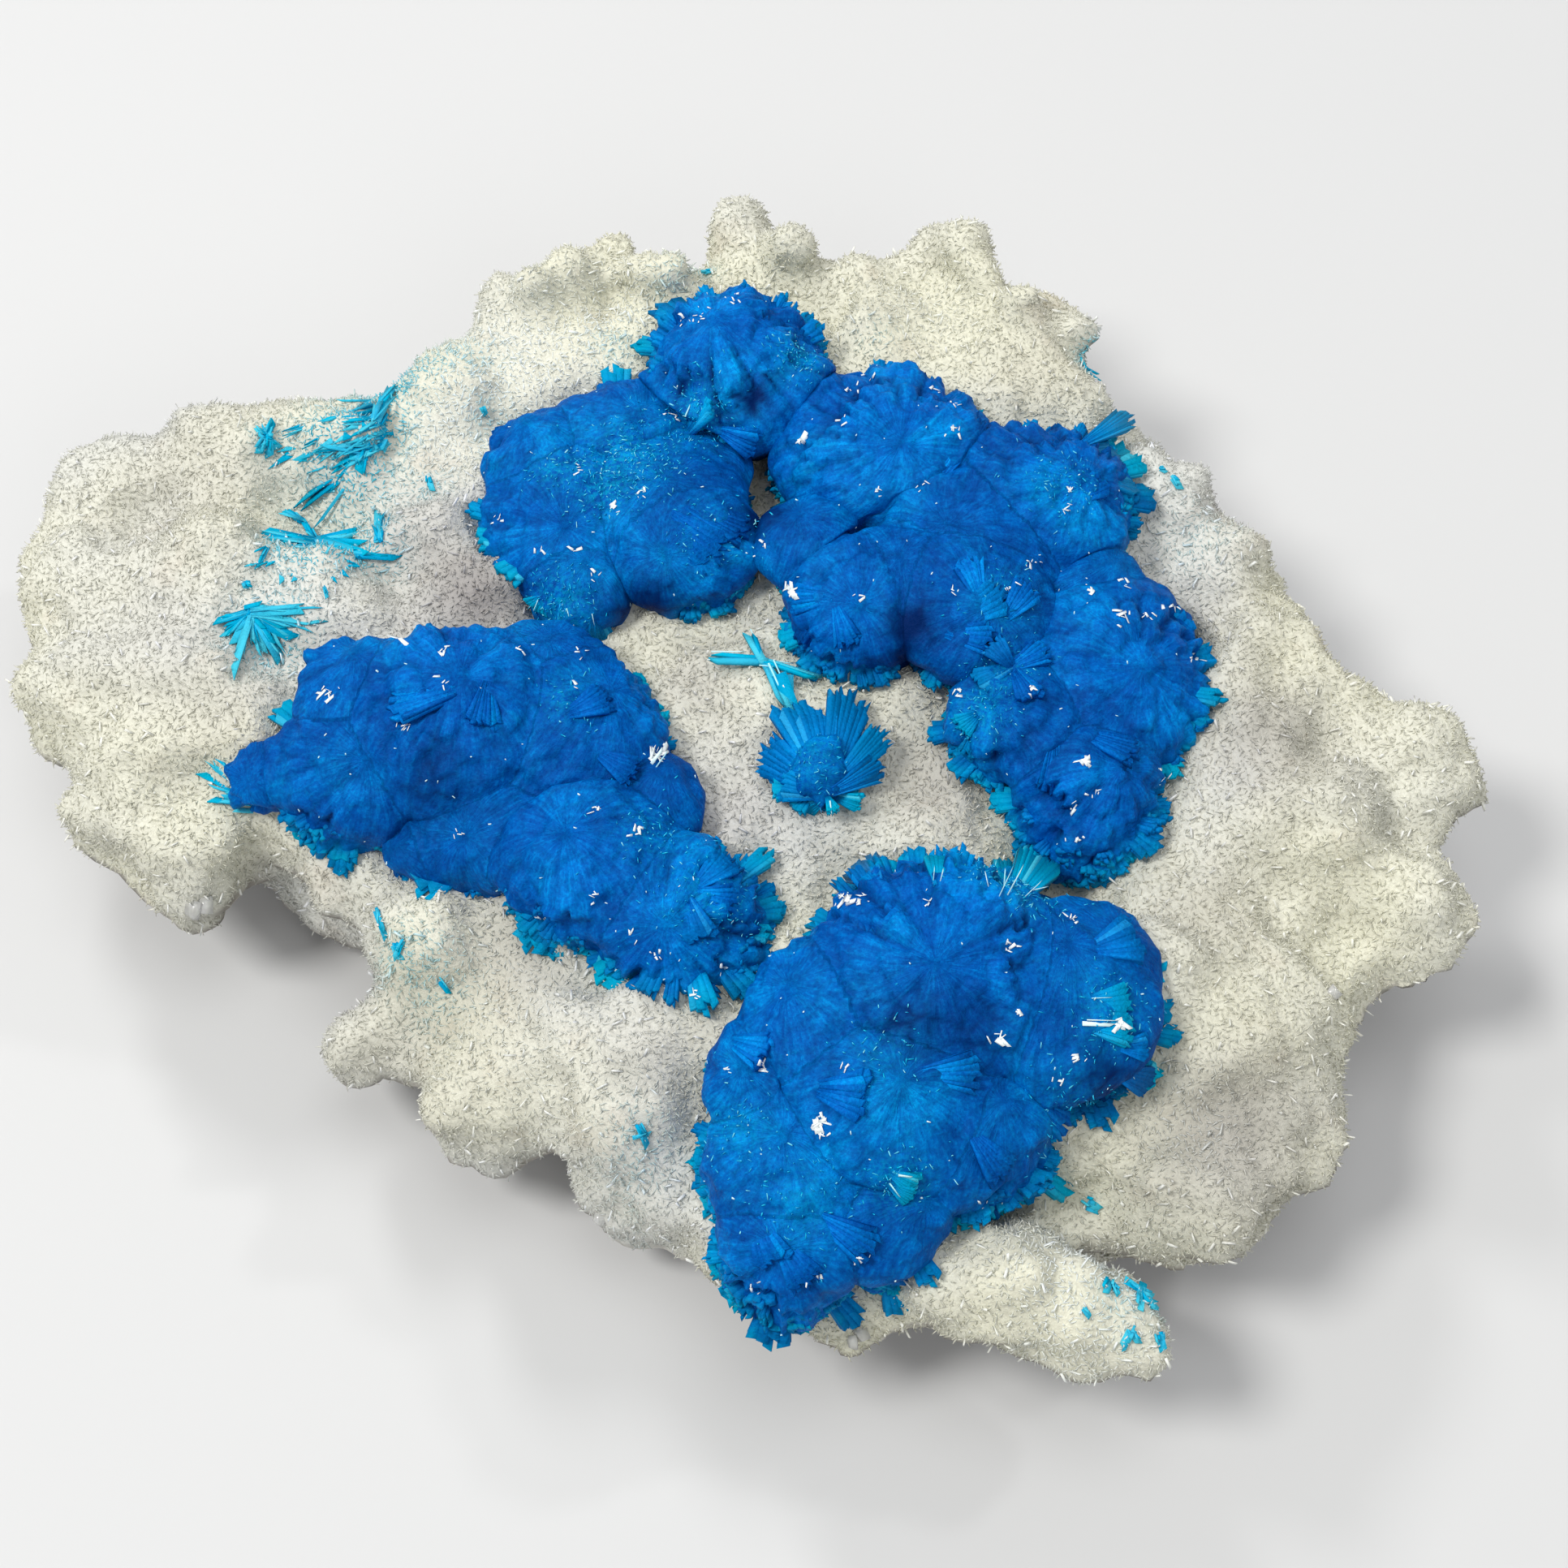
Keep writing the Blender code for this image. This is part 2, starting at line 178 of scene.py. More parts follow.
# The most painted shade that a blade ending in a hollow takes.
DARKEST_BLADE = 0.9
MOST_STRAND = 0.79
BLUE_LAYERS = ("tint", "tip", "grain", "hollow", "edge", "strand", "sparkle")

# Seeds of all that is random.
SEED = 11
BURST_SEED = 60
BURST_SEED_STEP = 10

# Sheaves of laths that stand out of a burst's foot: rings of them, each with the height of its ring
# in degrees, the spacing of its sheaves in millimetres, and how far they turn on their own axis.
SHEAF_RINGS = [
    (-26, 2.2, 0.3), (-13, 1.7, 0.3), (0, 1.3, 0.35), (12, 1.6, 0.4), (25, 2.6, 0.5),
]
SHEAF_LEFT_OUT = 0.10
SMALLEST_RINGED = 3.0 * MM
RING_JITTER = 0.35
TILT_JITTER = 0.14
RING_TINTS = (0.1, 0.72)
RING_FADES_AT = 45
SUNK_SHEAF = 0.2 * MM
SHEAF_REACH = (0.92, 1.09)
SHEAF_WIDTH = (0.8, 2.2)
SHEAF_THICK = (0.45, 0.9)
SHEAF_ROOT = 0.5
LONG_SHEAF_THICK = 0.7
LONG_SHEAF_TINTS = (0.45, 0.9)
LONG_SHEAF_ROOT = 0.4
OFF_THE_EDGE = 2.5 * MM
OVER_THE_STONE = 0.8 * MM
LOWEST_END = 3.0 * MM
STILL_ON_TOP = 0.9

# Ends of the long sheaves that break the outline of each cluster: x, y and width in millimetres.
LONG_SHEAVES = {
    "cavansite_upper": [
        (-24.7, 22.3, 1.6), (-23.8, 18.7, 2.0), (-21.3, 14.4, 2.4), (-23.4, 26.0, 3.0),
        (-20.3, 31.4, 2.6), (-13.4, 35.6, 2.4), (-12.3, 37.8, 1.6), (-10.0, 42.2, 3.0),
        (-5.8, 42.4, 3.0), (-2.2, 42.8, 2.2), (0.4, 42.0, 2.0), (3.2, 38.6, 2.4), (-2.5, 19.2, 3.0),
        (-5.0, 14.8, 2.6), (-14.3, 11.4, 2.4), (-18.5, 12.2, 2.0), (11.7, 34.6, 3.0), (16.1, 31.0, 1.2),
        (7.3, 36.2, 0.9), (20.1, 30.2, 1.0), (22.6, 29.7, 2.4), (27.0, 29.3, 2.2), (28.4, 26.4, 2.0),
        (29.2, 23.4, 2.6), (26.6, 20.8, 1.8), (27.1, 17.2, 1.6), (29.6, 16.0, 1.4), (31.8, 13.6, 2.0),
        (32.6, 9.3, 2.0), (32.8, 4.4, 1.4), (31.4, 2.6, 1.8), (29.9, 1.2, 1.6), (29.0, -1.2, 2.0),
        (-0.9, 27.0, 3.0), (-1.4, 23.0, 2.4), (-0.6, 9.8, 2.4), (7.4, 5.4, 1.8), (10.6, 5.4, 1.6),
        (10.4, 2.2, 1.8), (12.2, -1.4, 1.8), (14.8, -2.8, 2.0), (17.4, -8.6, 2.4), (22.4, -8.4, 2.2),
        (27.2, -7.2, 2.4),
    ],
    "cavansite_left": [
        (-38.9, -1.8, 2.2), (-37.6, 4.0, 2.0), (-34.4, 8.0, 2.4), (-32.4, -8.4, 1.8),
        (-26.5, -10.6, 2.9), (-18.6, -15.0, 2.6), (-13.5, -17.2, 3.6), (-9.8, -19.8, 1.6),
        (-7.9, -20.8, 1.0), (-5.3, -21.4, 2.0), (-2.0, -19.4, 2.4), (-0.6, -14.6, 1.5),
        (0.4, -11.6, 2.0), (-0.6, -7.2, 1.6), (-5.4, -6.4, 2.4), (-7.0, -2.6, 1.2), (-7.9, -0.4, 1.4),
        (-8.4, 3.2, 2.0), (-10.4, 7.0, 2.2), (-23.6, 10.4, 2.6),
    ],
    "cavansite_front": [
        (5.4, -8.6, 3.6), (10.9, -8.4, 2.2), (15.4, -8.2, 4.6), (18.6, -9.6, 3.0), (21.6, -11.6, 1.4),
        (24.9, -14.6, 2.4), (26.6, -17.9, 2.2), (27.2, -20.8, 1.8), (27.8, -22.4, 1.6),
        (26.2, -25.0, 2.0), (22.4, -28.4, 2.2), (20.2, -31.4, 2.0), (17.6, -32.0, 1.5),
        (13.0, -35.4, 2.0), (10.1, -39.2, 1.8), (8.0, -39.6, 2.0), (5.2, -40.4, 2.0),
        (-5.4, -35.6, 2.4), (-6.4, -29.6, 2.6), (-3.2, -23.4, 2.0), (-1.9, -21.0, 2.0),
        (0.4, -16.6, 2.4), (1.6, -12.8, 2.2), (-1.2, -42.4, 3.0),
    ],
    "cavansite_centre": [
        (-1.6, -0.4, 2.4), (-1.0, -3.2, 1.8), (0.8, -4.8, 1.4), (5.4, -3.4, 1.6), (5.6, -0.6, 1.8),
    ],
}

# Thin blades of the open sprays: x and y of root and end, width. All in millimetres.
SPRAY_BLADES = {
    "spray_left_back": [
        (-32.3, 32.8, -40.0, 27.9, 0.7), (-32.8, 33.2, -39.3, 28.6, 0.8),
        (-32.2, 31.9, -38.0, 27.5, 1.0), (-31.9, 30.9, -36.4, 27.6, 1.1),
        (-31.8, 30.0, -34.2, 27.7, 1.2), (-32.3, 30.5, -31.9, 35.9, 0.9),
        (-32.3, 33.5, -31.6, 36.3, 0.6), (-32.0, 31.6, -34.6, 28.9, 1.1),
        (-32.2, 28.7, -36.2, 25.8, 0.9), (-32.5, 28.3, -38.3, 25.4, 0.8),
        (-32.8, 27.6, -37.8, 25.2, 0.7), (-33.1, 27.7, -33.4, 26.3, 0.8),
        (-31.7, 29.4, -32.0, 28.4, 1.0), (-40.9, 29.1, -41.4, 28.0, 0.7),
        (-40.9, 29.2, -40.4, 30.8, 0.6), (-40.8, 29.1, -39.9, 28.7, 0.7),
        (-40.8, 29.1, -41.5, 29.8, 0.6), (-40.7, 29.3, -40.6, 28.0, 0.8),
    ],
    "spray_left_middle": [
        (-36.9, 21.7, -40.4, 21.1, 1.0), (-36.9, 21.7, -40.5, 16.6, 0.6),
        (-36.9, 21.5, -39.6, 17.6, 1.2), (-37.0, 21.4, -38.4, 15.5, 0.9),
        (-36.8, 21.5, -36.9, 15.0, 0.8), (-36.7, 21.7, -34.1, 14.6, 0.5),
        (-36.7, 21.6, -33.4, 15.2, 0.6), (-36.6, 21.6, -32.5, 17.8, 1.5),
        (-32.9, 17.9, -29.7, 18.1, 0.6), (-36.5, 22.0, -33.8, 22.4, 1.1),
        (-36.5, 21.6, -33.1, 16.5, 1.2), (-31.3, 19.3, -31.9, 23.6, 0.6),
        (-31.0, 19.2, -31.4, 23.2, 0.3), (-38.1, 23.8, -39.4, 24.5, 0.6),
        (-37.0, 22.3, -38.2, 24.1, 0.5), (-37.0, 21.8, -40.6, 19.3, 1.1),
        (-39.6, 18.3, -40.2, 16.5, 0.4),
    ],
    "spray_left_front": [
        (-40.2, 12.6, -35.0, 10.9, 0.8), (-40.2, 12.7, -36.2, 11.9, 0.9),
        (-40.0, 12.4, -36.9, 10.4, 1.0), (-40.0, 12.4, -38.0, 9.2, 1.0), (-40.3, 12.4, -39.4, 9.8, 0.9),
        (-40.4, 12.4, -41.0, 6.8, 0.7), (-40.5, 12.5, -41.3, 9.9, 0.8), (-40.5, 12.7, -42.9, 11.7, 0.8),
        (-40.2, 12.7, -38.1, 12.5, 0.9), (-40.4, 12.6, -42.2, 10.6, 0.6),
        (-41.0, 15.3, -40.8, 14.7, 0.7), (-34.6, 13.7, -34.3, 12.7, 0.3),
    ],
    "spray_right_back": [
        (24.6, 37.6, 23.4, 37.2, 0.5), (24.6, 37.6, 24.0, 38.6, 0.5), (24.6, 37.6, 25.4, 38.6, 0.6),
        (24.6, 37.6, 25.9, 37.4, 0.5), (24.6, 37.6, 24.3, 36.2, 0.6), (24.6, 37.6, 25.2, 36.5, 0.4),
        (24.5, 38.0, 24.4, 36.0, 0.3),
    ],
    "spray_front_edge": [
        (24.2, -38.8, 23.1, -38.0, 0.7), (24.2, -38.8, 24.5, -37.9, 0.6),
        (24.2, -38.8, 25.0, -38.9, 0.8), (24.2, -38.8, 25.0, -39.9, 0.8),
        (24.2, -38.8, 23.9, -40.3, 0.6), (22.0, -38.4, 21.6, -39.4, 0.5),
        (22.2, -38.6, 22.5, -39.4, 0.4), (23.2, -41.8, 22.6, -42.8, 0.6),
        (23.2, -41.8, 23.7, -42.6, 0.5), (25.2, -41.8, 25.4, -42.9, 0.6),
        (20.0, -40.6, 20.4, -41.2, 0.4), (21.2, -31.6, 22.0, -32.1, 0.6),
    ],
    "cavansite_needles": [
        (-1.2, 7.2, -5.3, 7.6, 0.6), (-1.4, 7.6, -5.0, 8.1, 0.3), (-1.5, 7.0, -2.7, 9.9, 0.6),
        (-1.6, 7.4, -2.2, 9.6, 0.3), (-1.6, 7.3, 2.3, 6.5, 0.5), (-1.5, 7.1, 2.0, 6.0, 0.3),
        (-1.5, 7.3, 0.5, 3.0, 0.6), (-1.3, 7.1, 0.9, 3.4, 0.3), (-1.6, 7.3, -0.3, 3.7, 0.3),
        (-0.4, 6.0, 1.2, 1.8, 1.2), (0.3, 6.2, 0.4, 2.4, 0.8),
    ],
}

# How thin blades lie: heights and thicknesses in millimetres, their steepest slope, how many finer
# blades lie over a broad one, and how those scatter.
EDGE_HEIGHT = 13 * MM
SPRAY_THICK = 0.13
SPRAY_TINTS = (0.85, 1.0)
SPRAY_LOW = 0.26
MOST_SLOPE = 0.7
SPRAY_LIFT = 0.40
NEEDLE_LIFT = 0.8
NEEDLE_THICK = 0.35
SPRAY_FINENESS = 0.16
SPRAY_SPREAD = 0.16
ROOT_SCATTER = 0.25
FINE_REACH = (0.3, 1.0)
FINE_WIDTH = (0.2, 0.5)
FINE_THICK = (0.6, 1.2)
FINE_LIFT = (0.8, 1.6)

# How flecks, glints and top sheaves lie on the bursts.
FLECK_LIFT = 0.06 * MM
GLINT_LIFT = 0.08 * MM
GLINT_THICK = 0.08 * MM
GLINT_TINTS = (0.93, 1.0)
GLINT_NEAR = 1.5 * MM
GLINT_OVER_NEEDLES = 1.15 * MM
TOP_SHEAF_SUNK = 0.25 * MM
TOP_SHEAF_LIFT = 0.42 * MM
TOP_SHEAF_THICK = 0.75 * MM
PLATE_OVER_GROUND = 1.3 * MM

# Slivers of cavansite that lie loose in the druse: x and y of root and end, width, in millimetres.
SLIVERS = [
    (-29.4, -11.2, -28.6, -13.2, 0.5), (-27.9, -13.9, -27.4, -15.0, 0.6),
    (-27.2, -13.9, -27.9, -14.9, 0.4), (-24.6, -16.2, -24.0, -16.9, 0.4),
    (-10.0, -28.0, -9.4, -29.2, 0.5), (-10.4, -28.8, -9.2, -28.4, 0.3), (-39.6, -1.6, -43.1, 0.2, 0.8),
    (-39.4, -1.9, -42.3, -1.8, 0.9), (-39.0, -1.6, -40.2, -0.2, 0.7), (30.4, 25.2, 30.9, 24.3, 0.6),
    (29.4, 26.0, 29.9, 25.7, 0.3), (-6.7, 47.4, -6.2, 46.9, 0.5), (-27.9, 25.8, -27.5, 24.6, 0.5),
    (-24.1, 32.9, -23.8, 32.4, 0.5), (-41.0, 15.3, -40.6, 14.8, 0.4),
]

# Each burst: x and y of its middle on the stone, and its radius, all in millimetres.
CLUSTERS = {
    "cavansite_upper": [
        (-17, 20.5, 7.8), (-9.5, 21, 6.0), (-7.4, 17.2, 5.2), (-7.6, 25.0, 5.2), (-15.4, 14.8, 4.2),
        (-13, 28.8, 6.2), (-19.4, 26.6, 4.2), (-3.6, 34.6, 7.8), (8, 26.9, 9.3), (1.8, 17.2, 3.4),
        (14, 18, 6.6), (20.2, 22.6, 7.4), (23.0, 15.4, 3.2), (5.2, 11.2, 5.5), (9.6, 13.2, 4.3),
        (13.6, 11.2, 5.6), (24.4, 7.2, 8.8), (27.2, 12.2, 4.0), (16.6, 2.6, 4.8), (22.0, -2.6, 6.3),
    ],
    "cavansite_left": [
        (-38.4, -1.2, 2.6), (-31.4, -0.8, 6.4), (-31.4, 4.4, 4.0), (-24, 2.4, 7.4), (-15, 1.4, 7.3),
        (-20.5, -5.0, 6.2), (-14.2, -9.4, 6.3), (-9.2, -4.0, 3.4), (-17.5, 6.4, 3.8),
        (-26.0, -6.2, 3.2), (-7.2, -13.2, 7.2),
    ],
    "cavansite_front": [
        (10.2, -17.8, 9.2), (18.8, -20.6, 7.2), (2.6, -21.4, 5.2), (12.8, -28.6, 6.2), (7, -27, 6.0),
        (0.2, -30, 6.6), (0.2, -36.0, 5.5), (7.0, -33.2, 4.6), (6.4, -35.6, 3.2), (-2.2, -25.4, 3.4),
        (18.2, -12.6, 3.2), (21.5, -17.2, 4.3), (21.6, -22.2, 4.1),
    ],
    "cavansite_centre": [
        (2.3, -0.6, 1.9), (2.4, -2.7, 1.6),
    ],
}

# Painted shade in the dark hollows between the bursts: x, y, radius and strength.
SHADED_HOLLOWS = [
    (-1.6, 19.3, 1.6, 0.8), (-10.2, 10.8, 2.6, 1.0), (9.3, 8.2, 1.7, 0.9), (-2.4, 29.0, 1.4, 0.6),
    (8.4, -24.4, 2.6, 0.5), (13.0, -24.6, 2.0, 0.4), (-24.6, -4.2, 2.0, 0.5), (21.6, -26.4, 2.0, 0.5),
]

# Each of the next lists gives places by their column and row in the photograph, and sizes in millimetres.
PHOTO_SIZE = 1932

# Lumps of the slab's rim: a place on the stone that is as far away, the lump's own place, and its radius.
RIM_LUMPS = [
    (930, 335, 972, 306, 2.5), (1150, 340, 1186, 308, 2.6), (1180, 360, 1206, 342, 2.2),
    (762, 350, 762, 312, 1.6), (700, 368, 700, 336, 2.2), (652, 385, 652, 352, 1.8),
    (792, 368, 792, 336, 2.0), (832, 368, 832, 336, 2.0), (742, 365, 736, 340, 2.2),
    (1250, 385, 1262, 372, 1.8), (1330, 420, 1334, 406, 1.6),
]

# Painted highlights: clouds of cyan sparkle on the bursts, where blades catch the light. Place, radius and
# strength.
SPARKLES = [
    (769, 560, 3.4, 1.0), (792, 430, 2.0, 1.0), (682, 577, 1.6, 0.8), (690, 745, 2.4, 1.0),
    (985, 437, 2.0, 0.8), (830, 383, 1.6, 0.9), (860, 505, 2.6, 0.8), (745, 610, 2.0, 0.7),
    (880, 660, 2.6, 0.5), (1205, 880, 2.2, 0.7), (1240, 820, 2.0, 0.6), (880, 1105, 3.0, 0.6),
    (800, 1020, 2.4, 0.5), (1110, 1455, 1.8, 1.0), (990, 1480, 3.0, 0.4), (1245, 1085, 3.0, 0.9),
    (1370, 1250, 2.6, 0.7), (1310, 1365, 2.6, 0.5), (1000, 930, 3.0, 0.6), (700, 860, 2.0, 0.5),
    (1240, 735, 2.0, 0.6), (1310, 600, 2.6, 0.5), (1090, 1290, 2.2, 0.4), (910, 1390, 2.2, 0.5),
]

# Lighter regions of the bursts, partly the blue's own paler zones and partly painted light: place, radius
# and strength.
LIGHT_REGIONS = [
    (1000, 930, 4.5, 1.0), (870, 1115, 5.0, 0.9), (1000, 1400, 7.0, 1.0), (915, 430, 6.0, 0.5),
    (1310, 600, 4.0, 0.5), (840, 700, 4.0, 0.5), (1240, 1085, 4.0, 0.6), (985, 600, 3.5, 0.4),
    (1210, 890, 3.0, 0.6), (970, 1590, 4.0, 0.6), (740, 540, 4.5, 0.6),
]

# Broad sheaves on top of the bursts: places of root and end, width, and how bright a cyan they are.
TOP_SHEAVES = [
    (812, 628, 890, 690, 3.4, 0.4), (818, 664, 866, 742, 3.0, 0.5), (768, 650, 782, 746, 2.6, 0.4),
    (846, 622, 922, 664, 3.0, 0.4), (850, 530, 884, 494, 3.2, 0.75), (890, 530, 938, 546, 2.6, 0.5),
    (668, 736, 650, 762, 2.4, 0.9), (694, 742, 702, 782, 2.4, 0.9), (730, 748, 736, 788, 2.2, 0.7),
    (1243, 1114, 1230, 1066, 2.4, 0.97), (1244, 1114, 1262, 1052, 2.4, 0.99),
    (1246, 1116, 1292, 1068, 2.4, 0.95), (1154, 1090, 1154, 1058, 2.4, 0.95),
    (1080, 1084, 1056, 1056, 3.0, 0.7), (1350, 1168, 1404, 1158, 3.8, 0.6),
    (1340, 1236, 1394, 1240, 3.0, 0.8), (1336, 1262, 1396, 1270, 2.6, 0.85),
    (1380, 1290, 1412, 1288, 2.0, 0.6), (1370, 1318, 1406, 1324, 2.2, 0.6),
    (1262, 1344, 1312, 1380, 3.2, 0.55), (1098, 1446, 1130, 1456, 1.7, 0.9),
    (1098, 1462, 1126, 1470, 1.6, 0.86), (1136, 1322, 1205, 1318, 3.0, 0.4),
    (1006, 1342, 1076, 1352, 3.6, 0.45), (1200, 1400, 1236, 1450, 2.6, 0.4),
    (1020, 976, 1042, 852, 3.4, 0.66), (1020, 976, 1018, 890, 2.8, 0.62),
    (1020, 976, 958, 872, 3.4, 0.66), (1018, 978, 936, 914, 3.2, 0.62),
    (1018, 980, 942, 948, 2.8, 0.64), (1018, 982, 962, 980, 2.4, 0.66),
    (1022, 974, 1086, 906, 2.2, 0.7), (1024, 978, 1076, 946, 2.4, 0.64),
    (1022, 982, 1056, 996, 1.4, 0.9), (1020, 982, 1026, 1012, 1.0, 0.99),
    (1018, 984, 990, 994, 1.6, 0.9), (1020, 976, 986, 878, 3.0, 0.64), (860, 1090, 900, 1060, 2.6, 0.6),
    (860, 1100, 905, 1110, 2.4, 0.5), (850, 1110, 870, 1160, 2.6, 0.6),
    (1205, 880, 1180, 900, 2.0, 0.8), (1210, 885, 1196, 930, 2.0, 0.7),
    (1310, 620, 1360, 590, 2.6, 0.5), (1240, 760, 1268, 720, 2.6, 0.5),
    (1210, 740, 1190, 690, 2.4, 0.4), (700, 880, 752, 860, 2.6, 0.4), (1150, 600, 1210, 512, 1.6, 0.3),
    (1020, 740, 985, 790, 2.4, 0.45), (1030, 745, 1050, 800, 2.2, 0.4), (1025, 735, 975, 740, 2.4, 0.5),
    (1170, 770, 1240, 730, 3.0, 0.6), (1165, 780, 1225, 790, 2.6, 0.5),
    (1247, 821, 1200, 850, 2.2, 0.65), (1247, 821, 1215, 790, 2.0, 0.6),
    (1247, 821, 1290, 800, 2.2, 0.5), (1250, 825, 1275, 870, 2.2, 0.5),
    (1330, 560, 1390, 575, 2.2, 0.7), (1335, 545, 1370, 520, 2.0, 0.75),
    (1345, 585, 1404, 608, 2.0, 0.7), (1330, 900, 1400, 930, 2.6, 0.4),
    (1300, 905, 1290, 980, 2.4, 0.4), (560, 850, 480, 880, 2.8, 0.4), (600, 840, 590, 900, 2.6, 0.4),
    (740, 930, 790, 960, 2.4, 0.5), (900, 1280, 950, 1300, 2.8, 0.5), (930, 1500, 960, 1560, 2.8, 0.5),
    (960, 1530, 1000, 1585, 2.6, 0.5), (1010, 1500, 1080, 1540, 2.8, 0.5),
]

# White flecks of stilbite on the bursts, partly painted glints: places of the groups, and the longest fleck
# of a group.
FLECK_SIZE = 0.55
LARGE_FLECK_SIZE = 0.95
FLECKS_IN_A_GROUP = (3, 6)
MORE_IN_A_LARGE_GROUP = 3
FLECK_SCATTER = (5, 4)
FLECKS = [
    (1036, 1110), (1062, 1111), (1144, 1110), (1258, 1248), (1328, 1304), (1014, 1380), (1015, 1396),
    (897, 1315), (941, 1311), (1041, 1315), (1060, 1555), (1001, 1576), (927, 1585), (1208, 1485),
    (1321, 1132), (1241, 1167), (1302, 1333), (410, 850), (547, 840), (501, 893), (707, 844),
    (718, 802), (640, 802), (549, 801), (564, 1029), (781, 1154), (888, 1194), (732, 996), (785, 1021),
    (734, 1108), (674, 1130), (812, 1177), (859, 1227), (1067, 465), (1048, 481), (1082, 606),
    (1135, 602), (1036, 515), (1176, 726), (1244, 726), (1313, 629), (1316, 603), (1341, 727),
    (1415, 761), (1448, 748), (1385, 722), (1272, 851), (1185, 855), (1435, 954), (1169, 529),
    (1152, 478), (1182, 496), (1270, 696), (1056, 735), (1474, 811), (1345, 976), (1322, 991),
    (1321, 1037), (847, 395), (869, 392), (907, 371), (827, 511), (708, 577), (791, 607), (759, 627),
    (667, 682), (713, 677), (736, 709), (614, 641), (936, 675),
]
LARGE_FLECKS = [
    (1230, 1278), (1378, 1263), (493, 786), (814, 926), (806, 934), (989, 544), (978, 729), (1387, 761),
    (1335, 942), (400, 852), (1040, 1112), (1012, 1388),
]

# Painted glints: thin bright lines along blades. Places of both ends, and width.
GLINTS = [
    (1232, 1102, 1252, 1060, 0.06), (1242, 1102, 1266, 1058, 0.08), (1262, 1106, 1290, 1080, 0.06),
    (1238, 1092, 1240, 1066, 0.05), (1216, 1088, 1212, 1070, 0.05), (1270, 1098, 1296, 1092, 0.05),
    (1345, 1262, 1382, 1264, 0.26), (1350, 1257, 1386, 1258, 0.06), (1352, 1230, 1376, 1229, 0.05),
    (1150, 1084, 1152, 1064, 0.06), (1160, 1084, 1164, 1068, 0.05), (888, 804, 927, 804, 0.10),
    (884, 814, 926, 815, 0.06), (952, 830, 970, 870, 0.14), (958, 826, 976, 866, 0.10),
    (928, 782, 938, 802, 0.06), (950, 815, 985, 820, 0.08), (948, 822, 990, 826, 0.05),
    (936, 806, 946, 822, 0.22), (1023, 992, 1025, 1008, 0.08), (804, 940, 820, 918, 0.26),
    (810, 944, 826, 922, 0.08), (1112, 1448, 1128, 1450, 0.14), (1100, 1462, 1112, 1478, 0.10),
    (662, 742, 656, 756, 0.05), (700, 754, 704, 768, 0.05), (730, 760, 733, 774, 0.05),
    (846, 510, 852, 496, 0.10),
]

# Larger clear crystals at the rim: places of root and end, and width.
RIM_CRYSTALS = [
    (1050, 1650, 1052, 1666, 0.7), (1000, 1684, 994, 1698, 0.8), (936, 1672, 926, 1688, 1.0),
    (1688, 1368, 1700, 1372, 1.2), (240, 1116, 234, 1136, 1.3), (252, 1112, 256, 1132, 1.1),
    (1676, 1480, 1690, 1488, 1.0), (1450, 1702, 1456, 1716, 1.0), (1520, 1640, 1532, 1652, 0.9),
    (1060, 1640, 1070, 1656, 0.9), (420, 1352, 414, 1366, 1.0), (740, 1500, 734, 1512, 0.9),
    (1640, 1222, 1652, 1232, 0.9), (1846, 990, 1858, 992, 0.9),
]

# Darker places of the druse, painted shade where the light falls away from them: place, radius and
# strength.
PAINTED_SHADE_SPOTS = [
    (1510, 1400, 6.5, 0.66), (1560, 900, 6.0, 0.52), (1480, 1120, 5.0, 0.36), (1160, 960, 5.0, 0.60),
    (900, 1000, 4.5, 0.45), (860, 840, 4.0, 0.42), (590, 735, 5.0, 0.95), (500, 640, 6.0, 0.25),
    (820, 1300, 6.0, 0.28), (300, 850, 7.0, 0.24), (1500, 760, 5.0, 0.22), (640, 1180, 5.0, 0.48),
    (230, 600, 6.0, 0.22), (1140, 815, 2.4, 0.30), (470, 1290, 6.0, 0.22), (560, 1330, 5.0, 0.16),
    (1270, 470, 5.0, 0.22), (1080, 370, 5.0, 0.06), (160, 780, 5.0, 0.12),
]

# Blue patches of the druse round the sprays: place, radius and strength.
BLUE_PATCHES = [
    (1342, 426, 1.0, 1.0), (400, 548, 1.7, 0.9), (438, 532, 1.3, 0.9), (350, 676, 1.7, 0.9),
    (388, 686, 1.7, 0.9), (428, 682, 1.4, 0.9), (430, 590, 1.2, 0.8), (1433, 1572, 1.1, 0.9),
    (472, 488, 0.9, 0.9), (330, 775, 1.8, 0.8),
]

